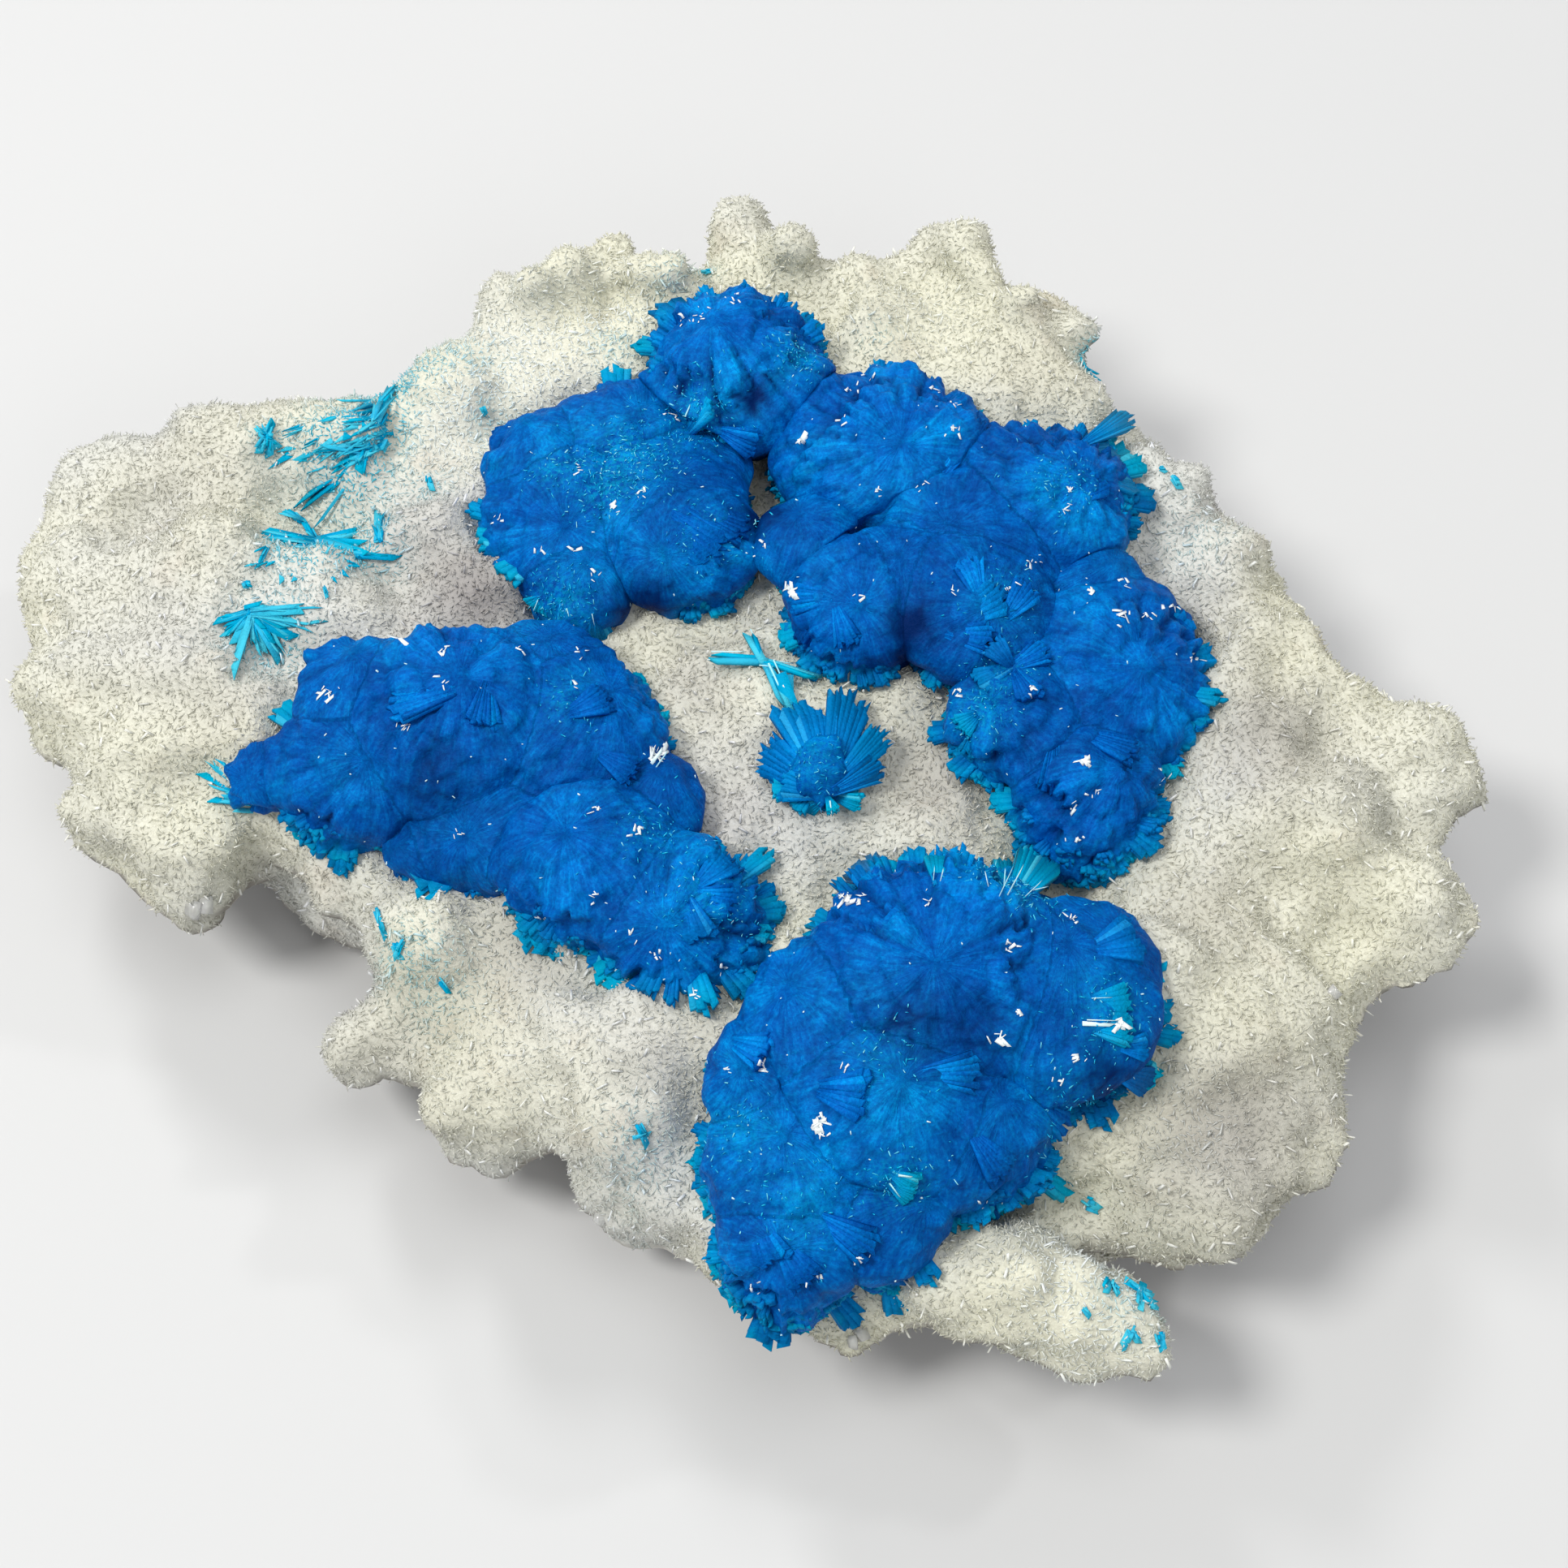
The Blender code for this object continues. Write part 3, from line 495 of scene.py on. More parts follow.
# Soft spots on the druse: x, y, radius and strength, in the millimetre plan. The first list is painted
# light, the second a blue tint.
PAINTED_LIGHT_SPOTS = [
    (-26.3, 31.6, 6.0, 0.55), (-21.3, 36.8, 7.0, 0.75), (-13.0, 41.5, 5.0, 0.5), (10.8, 42.2, 5.0, 0.3),
    (-19.9, -17.9, 7.0, 0.2), (-15.0, -24.2, 8.0, 0.15), (21.0, -41.0, 5.0, 0.5),
    (18.0, -37.6, 4.0, 0.5), (28.0, -27.6, 4.0, 0.35),
]
BLUE_SPOTS = [
    (-31.6, 35.6, 2.6, 0.9), (-28.0, 37.0, 2.6, 0.5), (-24.7, 37.6, 2.2, 0.3), (-27.7, 25.2, 1.6, 0.5),
    (-24.0, 32.8, 1.2, 0.5), (-22.4, 31.0, 2.4, 0.3), (-34.6, 20.4, 3.4, 0.8), (-35.0, 29.0, 3.6, 0.9),
    (-38.6, 11.0, 3.0, 0.9), (-13.4, 38.0, 2.2, 0.4), (-24.6, -16.0, 2.6, 0.45),
    (-27.4, -14.2, 1.8, 0.5), (-9.8, -28.8, 2.4, 0.4), (31.8, 20.6, 3.0, 0.3), (22.4, -39.6, 1.6, 0.4),
    (-6.6, 47.0, 1.2, 0.5), (-9.0, 43.6, 1.6, 0.4), (7.4, 39.0, 1.6, 0.3), (-31.6, 31.6, 2.2, 0.9),
    (-33.0, 26.6, 2.4, 0.9), (24.6, 37.6, 1.2, 0.9), (25.2, -38.8, 1.2, 0.7), (-40.8, 29.2, 1.2, 0.8),
    (-31.0, 18.6, 2.0, 0.6),
]

# Camera, as the photograph was taken: straight from the near side, 60 degrees above the horizon.
LOOK_AT = (0.0035, -0.00585, 0.017)
CAMERA_DISTANCE = 0.195
CAMERA_ELEVATION = math.radians(60)
CAMERA_LENS = 60
CAMERA_SENSOR = 36
CAMERA_NEAR = 0.001

# Lights: place, power, width and colour.
LIGHTS = {
    "key_left": ((-0.38, -0.12, 0.66), 3.4, 0.22, (1.0, 0.99, 0.96)),
    "back_left": ((-0.25, 0.50, 0.50), 1.6, 0.16, (1, 1, 1)),
    "fill_front": ((0.25, -0.60, 0.55), 0.8, 0.40, (0.98, 0.99, 1.0)),
    "top": ((0.05, 0.0, 0.75), 1.0, 0.40, (1, 1, 1)),
    "spark_right": ((0.40, 0.15, 0.45), 0.4, 0.05, (1, 1, 1)),
}
STUDIO_COLOUR = (0.96, 0.98, 1.0, 1.0)
STUDIO_STRENGTH = 0.36
FLOOR_HALF_SIZE = 1.5
FLOOR_GREY = (0.64, 0.64, 0.64, 1.0)

# Colours of the stone. In a list, each colour has its place on a ramp.
DRUSE_PATCHES = [(0.38, (0.705, 0.71, 0.665)), (0.5, (0.735, 0.73, 0.63)), (0.62, (0.755, 0.745, 0.605))]
STAINS = [(0.58, (1, 1, 1)), (0.78, (0.92, 0.86, 0.82))]
# Tints of the prisms. The stops above 1, for the bright laths and the flecks, are partly painted glints.
PRISM_TINTS = [
    (0.0, (0.90, 0.90, 0.89)), (0.3, (0.95, 0.95, 0.95)), (0.8, (1, 1, 1)),
    (0.9, (1.18, 1.19, 1.28)), (1.0, (1.22, 1.23, 1.36)),
]
# Painted shade: the colour that the prisms are darkened towards in the shaded spots.
PRISM_SHADE = (0.34, 0.32, 0.31)
# Painted light: the near-white that lit spots of the druse, and the flecks, are mixed towards.
PRISM_BRIGHT = (0.90, 0.96, 0.97)
BLUE_WASH = (0.06, 0.56, 0.72)
MILK = [(0.4, (0.86, 0.86, 0.83)), (0.6, (0.97, 0.97, 0.96))]
GROUND_SPECKLE = [(0.36, (0.86, 0.85, 0.84)), (0.62, (1.0, 1.0, 1.0))]
# Painted shade: the colour that the ground is darkened towards in the shaded spots.
GROUND_SHADE = (0.30, 0.28, 0.27)
BASALT = [
    (0.3, (0.10, 0.09, 0.08)), (0.5, (0.21, 0.19, 0.165)),
    (0.62, (0.32, 0.29, 0.25)), (0.74, (0.55, 0.53, 0.48)),
]
ZEOLITE = (0.62, 0.60, 0.55)

# Colours of the cavansite.
BLADE_BLUES = [(0.34, (0.0, 0.072, 0.37)), (0.5, (0.0, 0.125, 0.51)), (0.66, (0.0, 0.22, 0.70))]
BROAD_TONES = [(0.36, (1, 0.80, 0.84)), (0.5, (1, 1, 1)), (0.66, (1, 1.45, 1.18))]
STRAND_TONES = [(0.0, (1, 0.76, 0.82)), (0.5, (1, 1, 1)), (1.0, (1, 1.65, 1.32))]
RIM_TEALS = [(0.38, (0.0, 0.17, 0.36)), (0.5, (0.0, 0.26, 0.48)), (0.62, (0.0, 0.40, 0.58))]
BRIGHT_TINTS = [(0.55, (0, 0, 0)), (0.8, (0.5, 0.5, 0.5)), (1.0, (0.95, 0.95, 0.95))]
# Painted highlights of the glitter, cyan to almost white.
GLITTER_TINTS = [
    (0.0, (0.0, 0.30, 0.64)), (0.7, (0.0, 0.50, 0.76)),
    (0.9, (0.2, 0.78, 0.90)), (1.0, (0.75, 0.95, 0.97)),
]
BRIGHT_CYAN = (0.0, 0.49, 0.70)
PALE_CYAN = (0.10, 0.66, 0.80)
# Painted highlight: the cyan of the sparkling clouds.
SPARKLE_CYAN = (0.0, 0.40, 0.68)
# Painted shade: the navy of the hollows, creases and seams.
SHADE_NAVY = (0.0, 0.016, 0.10)


def plan(x, y, z=0.0):
    """A place in the millimetre plan as a point in metres round the origin."""
    return Vector(((x - PLAN_CENTRE[0]) * MM, (y - PLAN_CENTRE[1]) * MM, z * MM))


def in_metres(sizes):
    return tuple(size * MM for size in sizes)


def new_object(name, mesh):
    obj = bpy.data.objects.new(name, mesh)
    bpy.context.scene.collection.objects.link(obj)
    return obj


def object_from_bmesh(name, shape):
    mesh = bpy.data.meshes.new(name)
    shape.to_mesh(mesh)
    shape.free()
    return new_object(name, mesh)


def plain_mesh(obj):
    """The mesh that the object's modifiers make of it."""
    bpy.context.view_layer.update()
    graph = bpy.context.evaluated_depsgraph_get()
    return bpy.data.meshes.new_from_object(obj.evaluated_get(graph))


def apply_modifiers(obj):
    made = plain_mesh(obj)
    obj.modifiers.clear()
    obj.data = made
    made.name = obj.name


def read_points(mesh):
    points = np.empty(len(mesh.vertices) * 3, np.float32)
    mesh.vertices.foreach_get("co", points)
    return points.reshape(-1, 3).astype(float)


def write_points(mesh, points):
    mesh.vertices.foreach_set("co", points.astype(np.float32).ravel())
    mesh.update()


def read_normals(mesh):
    normals = np.empty(len(mesh.vertices) * 3, np.float32)
    mesh.vertex_normals.foreach_get("vector", normals)
    return normals.reshape(-1, 3).astype(float)


def store(mesh, name, values):
    """Keeps a number or a vector for every point of the mesh."""
    values = np.asarray(values, np.float32)
    kind, field = ("FLOAT_VECTOR", "vector") if values.ndim == 2 else ("FLOAT", "value")
    layer = mesh.attributes.new(name, kind, "POINT")
    layer.data.foreach_set(field, values.ravel())


def keep_layers(mesh, names):
    """Drops what was stored only to grow crystals."""
    extra = [
        layer.name for layer in mesh.attributes
        if not layer.is_required and not layer.is_internal and layer.name not in names
    ]
    for name in extra:
        mesh.attributes.remove(mesh.attributes[name])


def way_to_camera():
    return Vector((0, -math.cos(CAMERA_ELEVATION), math.sin(CAMERA_ELEVATION)))


def sight_line(column, row):
    """From the camera through a place in the photograph: the camera's place and the way."""
    wide = CAMERA_SENSOR / CAMERA_LENS
    back = way_to_camera()
    up = Vector((0, math.sin(CAMERA_ELEVATION), math.cos(CAMERA_ELEVATION)))
    way = Vector(((column / PHOTO_SIZE - 0.5) * wide, 0, 0)) + up * (0.5 - row / PHOTO_SIZE) * wide - back
    return Vector(LOOK_AT) + back * CAMERA_DISTANCE, way


def seen_on(tree, column, row):
    """Where the photograph's place lies on a surface, and the way out of it, or a pair of None."""
    eye, way = sight_line(column, row)
    place, normal = tree.ray_cast(eye, way.normalized())[:2]
    return place, normal


def beside_in_view(place, column, row):
    """The point as far from the camera as a given one, at another place in the photograph."""
    eye, way = sight_line(column, row)
    depth = (place - eye).dot(sight_line(PHOTO_SIZE / 2, PHOTO_SIZE / 2)[1])
    return eye + way * depth


def height_below(tree, x, y):
    """Height of a surface under a place, or None beyond its edge."""
    hit = tree.ray_cast(Vector((x, y, WELL_ABOVE)), Vector((0, 0, -1)))[0]
    return None if hit is None else hit.z


def smooth_step(low, high, values):
    share = np.clip((values - low) / (high - low), 0, 1)
    return share * share * (3 - 2 * share)


# Node helpers.

def add(tree, kind, inputs=None, **settings):
    """A new node. An input that is given a socket is linked, and any other is set."""
    node = tree.nodes.new(kind)
    for name, value in settings.items():
        setattr(node, name, value)
    for key, value in (inputs or {}).items():
        if isinstance(value, bpy.types.NodeSocket):
            tree.links.new(value, node.inputs[key])
        else:
            node.inputs[key].default_value = value
    return node


def math_node(tree, operation, first, second=0.5, clamp=False):
    inputs = {0: first, 1: second}
    return add(tree, "ShaderNodeMath", inputs, operation=operation, use_clamp=clamp).outputs[0]


def multiply(tree, first, second):
    return math_node(tree, "MULTIPLY", first, second)


def ramp(tree, factor, stops):
    """A colour ramp through (place, colour) stops."""
    node = add(tree, "ShaderNodeValToRGB", {"Fac": factor})
    marks = node.color_ramp.elements
    while len(marks) < len(stops):
        marks.new(0.5)
    for mark, (place, colour) in zip(marks, stops):
        mark.position = place
        mark.color = (*colour, 1.0)
    return node.outputs["Color"]


def mask(tree, factor, low, high, most=1.0):
    """Black up to the low factor, rising to a grey or white from the high one on."""
    return ramp(tree, factor, [(low, (0, 0, 0)), (high, (most, most, most))])


def mix_colours(tree, factor, first, second, blend="MIX"):
    node = add(tree, "ShaderNodeMix", data_type="RGBA", blend_type=blend, clamp_factor=True)
    for socket, value in ((node.inputs[0], factor), (node.inputs[6], first), (node.inputs[7], second)):
        if isinstance(value, bpy.types.NodeSocket):
            tree.links.new(value, socket)
        else:
            socket.default_value = (*value, 1.0) if isinstance(value, tuple) else value
    return node.outputs[2]


def stored(tree, name, output="Fac"):
    return add(tree, "ShaderNodeAttribute", attribute_name=name).outputs[output]


def noise_in(tree, place, size, detail=2.0, roughness=0.5):
    """Soft noise whose lumps are about the given size in metres."""
    inputs = {"Vector": place, "Scale": 1 / size, "Detail": detail, "Roughness": roughness}
    return add(tree, "ShaderNodeTexNoise", inputs).outputs[0]


def bump(tree, height, distance, strength=1.0, under=None):
    inputs = {"Height": height, "Distance": distance, "Strength": strength}
    if under is not None:
        inputs["Normal"] = under
    return add(tree, "ShaderNodeBump", inputs).outputs["Normal"]


def new_material(name, viewport_colour):
    """An empty node material. Returns it with its tree and its shader."""
    material = bpy.data.materials.new(name)
    material.use_nodes = True
    material.diffuse_color = (*viewport_colour, 1.0)
    tree = material.node_tree
    return material, tree, tree.nodes["Principled BSDF"]


def object_place(tree):
    return add(tree, "ShaderNodeTexCoord").outputs["Object"]


def set_shader(shader, values):
    """Sets the shader's own sockets by name."""
    for name, value in values.items():
        shader.inputs[name].default_value = value


# Materials.

def druse_tone(tree, place):
    """Warm cream to cool grey patches with faint brown stains, shared by ground and prisms."""
    patches = ramp(tree, noise_in(tree, place, 24 * MM, 2.0), DRUSE_PATCHES)
    stained = ramp(tree, noise_in(tree, place, 7 * MM, 4.0, 0.6), STAINS)
    return mix_colours(tree, 1.0, patches, stained, "MULTIPLY")


def prism_finish():
    """Tiny clear prisms: each its own shade of white, glassy, tinted blue near the cavansite, with painted
    shade and painted light in spots.
    """
    material, tree, shader = new_material("stilbite_prisms", (0.8, 0.78, 0.7))
    place = object_place(tree)
    own = ramp(tree, stored(tree, "tint"), PRISM_TINTS)
    colour = mix_colours(tree, 1.0, druse_tone(tree, place), own, "MULTIPLY")
    # Painted shade from the stored spots.
    colour = mix_colours(tree, stored(tree, "shade"), colour, PRISM_SHADE)
    # Painted light from the stored spots, and the flecks' white.
    colour = mix_colours(tree, stored(tree, "brightness"), colour, PRISM_BRIGHT)
    patchy = mask(tree, noise_in(tree, place, 0.7 * MM, 2.0), 0.30, 0.48)
    washed = multiply(tree, stored(tree, "blue_wash"), patchy)
    colour = mix_colours(tree, washed, colour, BLUE_WASH)
    tree.links.new(colour, shader.inputs["Base Color"])
    set_shader(shader, {"Roughness": 0.24, "IOR": 1.5, "Transmission Weight": 0.05})
    return material


def glitter_finish():
    """Painted highlights: ends of blades that catch the light, cyan to almost white."""
    material, tree, shader = new_material("cavansite_glitter", (0.1, 0.6, 0.75))
    own = ramp(tree, stored(tree, "tint"), GLITTER_TINTS)
    tree.links.new(own, shader.inputs["Base Color"])
    set_shader(shader, {"Roughness": 0.25, "IOR": 1.54})
    return material


def clear_crystal_finish():
    """The larger crystals at the rim: clear and glassy, a little milky."""
    material, tree, shader = new_material("stilbite_clear", (0.85, 0.85, 0.83))
    milk = ramp(tree, noise_in(tree, object_place(tree), 0.5 * MM, 3.0), MILK)
    tree.links.new(milk, shader.inputs["Base Color"])
    set_shader(shader, {"Roughness": 0.12, "IOR": 1.5, "Transmission Weight": 0.55})
    return material


def broken_stone(tree, place, rock_noise):
    """Grey-brown basalt with pale patches of zeolite."""
    zeolite = mask(tree, noise_in(tree, place, 4.5 * MM, 6.0, 0.65), 0.56, 0.63, 0.9)
    return mix_colours(tree, zeolite, ramp(tree, rock_noise, BASALT), ZEOLITE)


def ground_finish():
    """Under the druse: its own dull white, with painted shade in spots. Where the stone is broken: its own
    rock.
    """
    material, tree, shader = new_material("stilbite_ground", (0.5, 0.48, 0.44))
    place = object_place(tree)
    fine = noise_in(tree, place, 0.28 * MM, 3.0, 0.6)
    speckle = ramp(tree, fine, GROUND_SPECKLE)
    druse = mix_colours(tree, 1.0, druse_tone(tree, place), speckle, "MULTIPLY")
    # Painted shade from the stored spots.
    druse = mix_colours(tree, stored(tree, "shade"), druse, GROUND_SHADE)
    rock_noise = noise_in(tree, place, 2.2 * MM, 6.0, 0.62)
    rock = broken_stone(tree, place, rock_noise)
    tree.links.new(mix_colours(tree, stored(tree, "broken"), druse, rock), shader.inputs["Base Color"])
    set_shader(shader, {"Roughness": 0.62})
    rough = bump(tree, fine, 0.12 * MM, 0.9)
    rough = bump(tree, rock_noise, 0.6 * MM, 0.5, rough)
    tree.links.new(rough, shader.inputs["Normal"])
    return material


def woven_blue(tree, place, fine, streak):
    """The blue of the blades: grain and strands, broad lighter regions, and each strand's own tone."""
    woven = multiply(tree, math_node(tree, "ADD", fine, streak), 0.5)
    azure = ramp(tree, noise_in(tree, place, 5.5 * MM, 2.0, 0.5), BROAD_TONES)
    colour = mix_colours(tree, 1.0, ramp(tree, woven, BLADE_BLUES), azure, "MULTIPLY")
    own = ramp(tree, stored(tree, "strand"), STRAND_TONES)
    return mix_colours(tree, 1.0, colour, own, "MULTIPLY")


def teal_rim(tree, place, colour):
    """Turns the outer ends of the blades at the rim teal."""
    outer = math_node(tree, "POWER", stored(tree, "tip"), 1.5)
    at_rim = math_node(tree, "MULTIPLY", multiply(tree, stored(tree, "edge"), outer), 0.72, clamp=True)
    teal = ramp(tree, noise_in(tree, place, 1.6 * MM, 2.0), RIM_TEALS)
    return mix_colours(tree, at_rim, colour, teal)


def bright_blades(tree, colour):
    """Turns the blades of a bright tint cyan, and their palest strands paler still."""
    bright = ramp(tree, stored(tree, "tint"), BRIGHT_TINTS)
    whole = multiply(tree, stored(tree, "edge"), 0.85)
    along = math_node(tree, "MAXIMUM", math_node(tree, "POWER", stored(tree, "tip"), 0.6), whole)
    colour = mix_colours(tree, multiply(tree, bright, along), colour, BRIGHT_CYAN)
    pale_strand = mask(tree, stored(tree, "strand"), 0.80, 0.95)
    pale = multiply(tree, multiply(tree, pale_strand, bright), 0.75)
    return mix_colours(tree, pale, colour, PALE_CYAN)


def cavansite_finish():
    """Azure velvet with faint radial strands, painted navy shade in the hollows, creases and seams, painted
    cyan sparkle, teal and cyan towards the rim.
    """
    material, tree, shader = new_material("cavansite_blue", (0.0, 0.13, 0.45))
    place = object_place(tree)
    fine = noise_in(tree, place, 0.26 * MM, 3.0, 0.65)
    streak = noise_in(tree, stored(tree, "grain", "Vector"), 0.30 * MM, 3.0, 0.6)
    colour = teal_rim(tree, place, woven_blue(tree, place, fine, streak))
    colour = bright_blades(tree, colour)
    # Painted highlights: cyan sparkle in patches over the stored clouds.
    patches = mask(tree, noise_in(tree, place, 0.34 * MM, 3.0, 0.65), 0.42, 0.62, 0.8)
    sparkle = multiply(tree, stored(tree, "sparkle"), patches)
    colour = mix_colours(tree, sparkle, colour, SPARKLE_CYAN)
    # Painted shade: navy in the hollows, creases and seams.
    colour = mix_colours(tree, stored(tree, "hollow"), colour, SHADE_NAVY)
    tree.links.new(colour, shader.inputs["Base Color"])
    set_shader(shader, {"Roughness": 0.5, "IOR": 1.54, "Specular IOR Level": 0.03})
    rough = bump(tree, fine, 0.12 * MM, 0.8)
    rough = bump(tree, streak, 0.16 * MM, 0.6, rough)
    tree.links.new(rough, shader.inputs["Normal"])
    return material


# Crystal shapes, each about 1 wide, 1 deep and 1 long, with its root below the middle.

def close_prism(shape, low, high):
    """The faces of a prism between two rings of corners."""
    shape.faces.new(list(reversed(low)))
    shape.faces.new(high)
    for corner in range(len(low)):
        after = (corner + 1) % len(low)
        shape.faces.new((low[corner], low[after], high[after], high[corner]))


def prism_shape(name, sides, slant, taper, root=-0.35, head=0.65, strand=0.5):
    """A closed prism with a slanted end. The layer tip runs from 0 at the root to 1 at the end."""
    shape = bmesh.new()
    rings = []
    for height, reach, lean in ((root, 0.5, 0.0), (head, 0.5 * taper, slant)):
        ring = []
        for corner in range(sides):
            turn = 2 * math.pi * (corner + 0.5) / sides
            x = math.cos(turn) * reach * math.sqrt(2)
            y = math.sin(turn) * reach * math.sqrt(2)
            ring.append(shape.verts.new((x, y, height + lean * x)))
        rings.append(ring)
    close_prism(shape, *rings)
    obj = object_from_bmesh(name, shape)
    count = len(obj.data.vertices)
    store(obj.data, "tip", [0.0 if index < sides else 1.0 for index in range(count)])
    store(obj.data, "strand", np.full(count, strand))
    obj.hide_render = True
    return obj


def sheaf_shape(name, layers, dice, root_spread=0.5, roughness=1.0):
    """A fan of laths side by side in layers, narrow at the root, with a stepped blunt end."""
    shape = bmesh.new()
    tips, strands = [], []
    for layer, count in enumerate(layers):
        level = (layer + 0.5) / len(layers) - 0.5
        for index in range(count):
            along = (index + 0.5) / count - 0.5
            half = 0.56 / count
            middle = level * 0.8 + dice.uniform(-0.05, 0.05) * roughness
            deep = 0.5 / len(layers) * (1 + dice.uniform(-0.05, 0.2) * roughness)
            end = 1 - dice.uniform(0, 0.17) - 0.14 * abs(along) - 0.06 * abs(level)
            slope = dice.uniform(-0.05, 0.05)
            corners = []
            for height, spread, thin in ((0.0, root_spread, 0.7), (end, 1.0, 1.0)):
                for side_x, side_y in ((-1, -1), (1, -1), (1, 1), (-1, 1)):
                    corners.append(shape.verts.new((
                        (along + side_x * half) * spread,
                        middle * thin + side_y * deep * thin,
                        height + side_x * slope * (height > 0),
                    )))
            close_prism(shape, corners[:4], corners[4:])
            tips += [0.0] * 4 + [1.0] * 4
            strands += [dice.random()] * 8
    obj = object_from_bmesh(name, shape)
    store(obj.data, "tip", tips)
    store(obj.data, "strand", strands)
    obj.hide_render = True
    return obj


# Geometry Nodes.

def open_tree(name, sockets):
    """A Geometry Nodes tree with named inputs. Returns the tree, its inputs and its output node."""
    tree = bpy.data.node_groups.new(name, "GeometryNodeTree")
    tree.is_modifier = True
    tree.interface.new_socket("Geometry", in_out="INPUT", socket_type="NodeSocketGeometry")
    for label, kind in sockets:
        tree.interface.new_socket(label, in_out="INPUT", socket_type=kind)
    tree.interface.new_socket("Geometry", in_out="OUTPUT", socket_type="NodeSocketGeometry")
    return tree, tree.nodes.new("NodeGroupInput"), tree.nodes.new("NodeGroupOutput")


def named_value(tree, name, kind):
    """What the surface or the points store under a name."""
    node = add(tree, "GeometryNodeInputNamedAttribute", {"Name": name}, data_type=kind)
    return node.outputs["Attribute"]


def shape_choice(tree, given, labels):
    """The given shapes as instances to pick from."""
    shapes = tree.nodes.new("GeometryNodeGeometryToInstance")
    for label in reversed(labels):
        info = add(tree, "GeometryNodeObjectInfo", {"Object": given.outputs[label], "As Instance": True})
        tree.links.new(info.outputs["Geometry"], shapes.inputs[0])
    return shapes.outputs[0]


def end_tree(tree, crystals, given, result):
    """Makes plain mesh of the instances and gives it the finish."""
    plain = add(tree, "GeometryNodeRealizeInstances", {0: crystals})
    finished = add(tree, "GeometryNodeSetMaterial", {
        "Geometry": plain.outputs[0], "Material": given.outputs["Finish"],
    })
    tree.links.new(finished.outputs[0], result.inputs[0])


def crystal_growth_tree():
    """Grows closed crystals all over a surface, each along the way that the surface stores."""
    tree, given, result = open_tree("crystal_growth", [
        ("Crystals per square metre", "NodeSocketFloat"),
        ("Least gap", "NodeSocketFloat"),
        ("Least size", "NodeSocketVector"),
        ("Most size", "NodeSocketVector"),
        ("Lean", "NodeSocketFloat"),
        ("Least tint", "NodeSocketFloat"),
        ("Most tint", "NodeSocketFloat"),
        ("Where", "NodeSocketString"),
        ("Shape A", "NodeSocketObject"),
        ("Shape B", "NodeSocketObject"),
        ("Seed", "NodeSocketInt"),
        ("Finish", "NodeSocketMaterial"),
    ])
    points = add(tree, "GeometryNodeDistributePointsOnFaces", {
        "Mesh": given.outputs["Geometry"],
        "Distance Min": given.outputs["Least gap"],
        "Density Max": given.outputs["Crystals per square metre"],
        "Density Factor": named_value(tree, given.outputs["Where"], "FLOAT"),
        "Seed": given.outputs["Seed"],
    }, distribute_method="POISSON")
    way = named_value(tree, "growing_way", "FLOAT_VECTOR")
    upright = add(tree, "FunctionNodeAlignRotationToVector", {"Vector": way}, axis="Z")
    lean = given.outputs["Lean"]
    back = multiply(tree, lean, -1.0)
    least_turn = add(tree, "ShaderNodeCombineXYZ", {0: back, 1: back, 2: -math.pi}).outputs[0]
    most_turn = add(tree, "ShaderNodeCombineXYZ", {0: lean, 1: lean, 2: math.pi}).outputs[0]
    turn = add(tree, "FunctionNodeRandomValue", {
        "Min": least_turn, "Max": most_turn, "Seed": given.outputs["Seed"],
    }, data_type="FLOAT_VECTOR")
    as_rotation = add(tree, "FunctionNodeEulerToRotation", {0: turn.outputs[0]})
    turned = add(tree, "FunctionNodeRotateRotation", {
        0: upright.outputs[0], 1: as_rotation.outputs[0],
    }, rotation_space="LOCAL")
    size = add(tree, "FunctionNodeRandomValue", {
        "Min": given.outputs["Least size"], "Max": given.outputs["Most size"], "Seed": 3,
    }, data_type="FLOAT_VECTOR")
    crystals = add(tree, "GeometryNodeInstanceOnPoints", {
        "Points": points.outputs["Points"],
        "Instance": shape_choice(tree, given, ["Shape A", "Shape B"]),
        "Pick Instance": True,
        "Rotation": turned.outputs[0],
        "Scale": size.outputs[0],
    })
    shade = add(tree, "FunctionNodeRandomValue", {"Seed": 5}, data_type="FLOAT")
    tree.links.new(given.outputs["Least tint"], shade.inputs[2])
    tree.links.new(given.outputs["Most tint"], shade.inputs[3])
    tinted = add(tree, "GeometryNodeStoreNamedAttribute", {
        "Geometry": crystals.outputs[0], "Name": "tint", "Value": shade.outputs[1],
    }, data_type="FLOAT", domain="INSTANCE")
    end_tree(tree, tinted.outputs[0], given, result)
    return tree


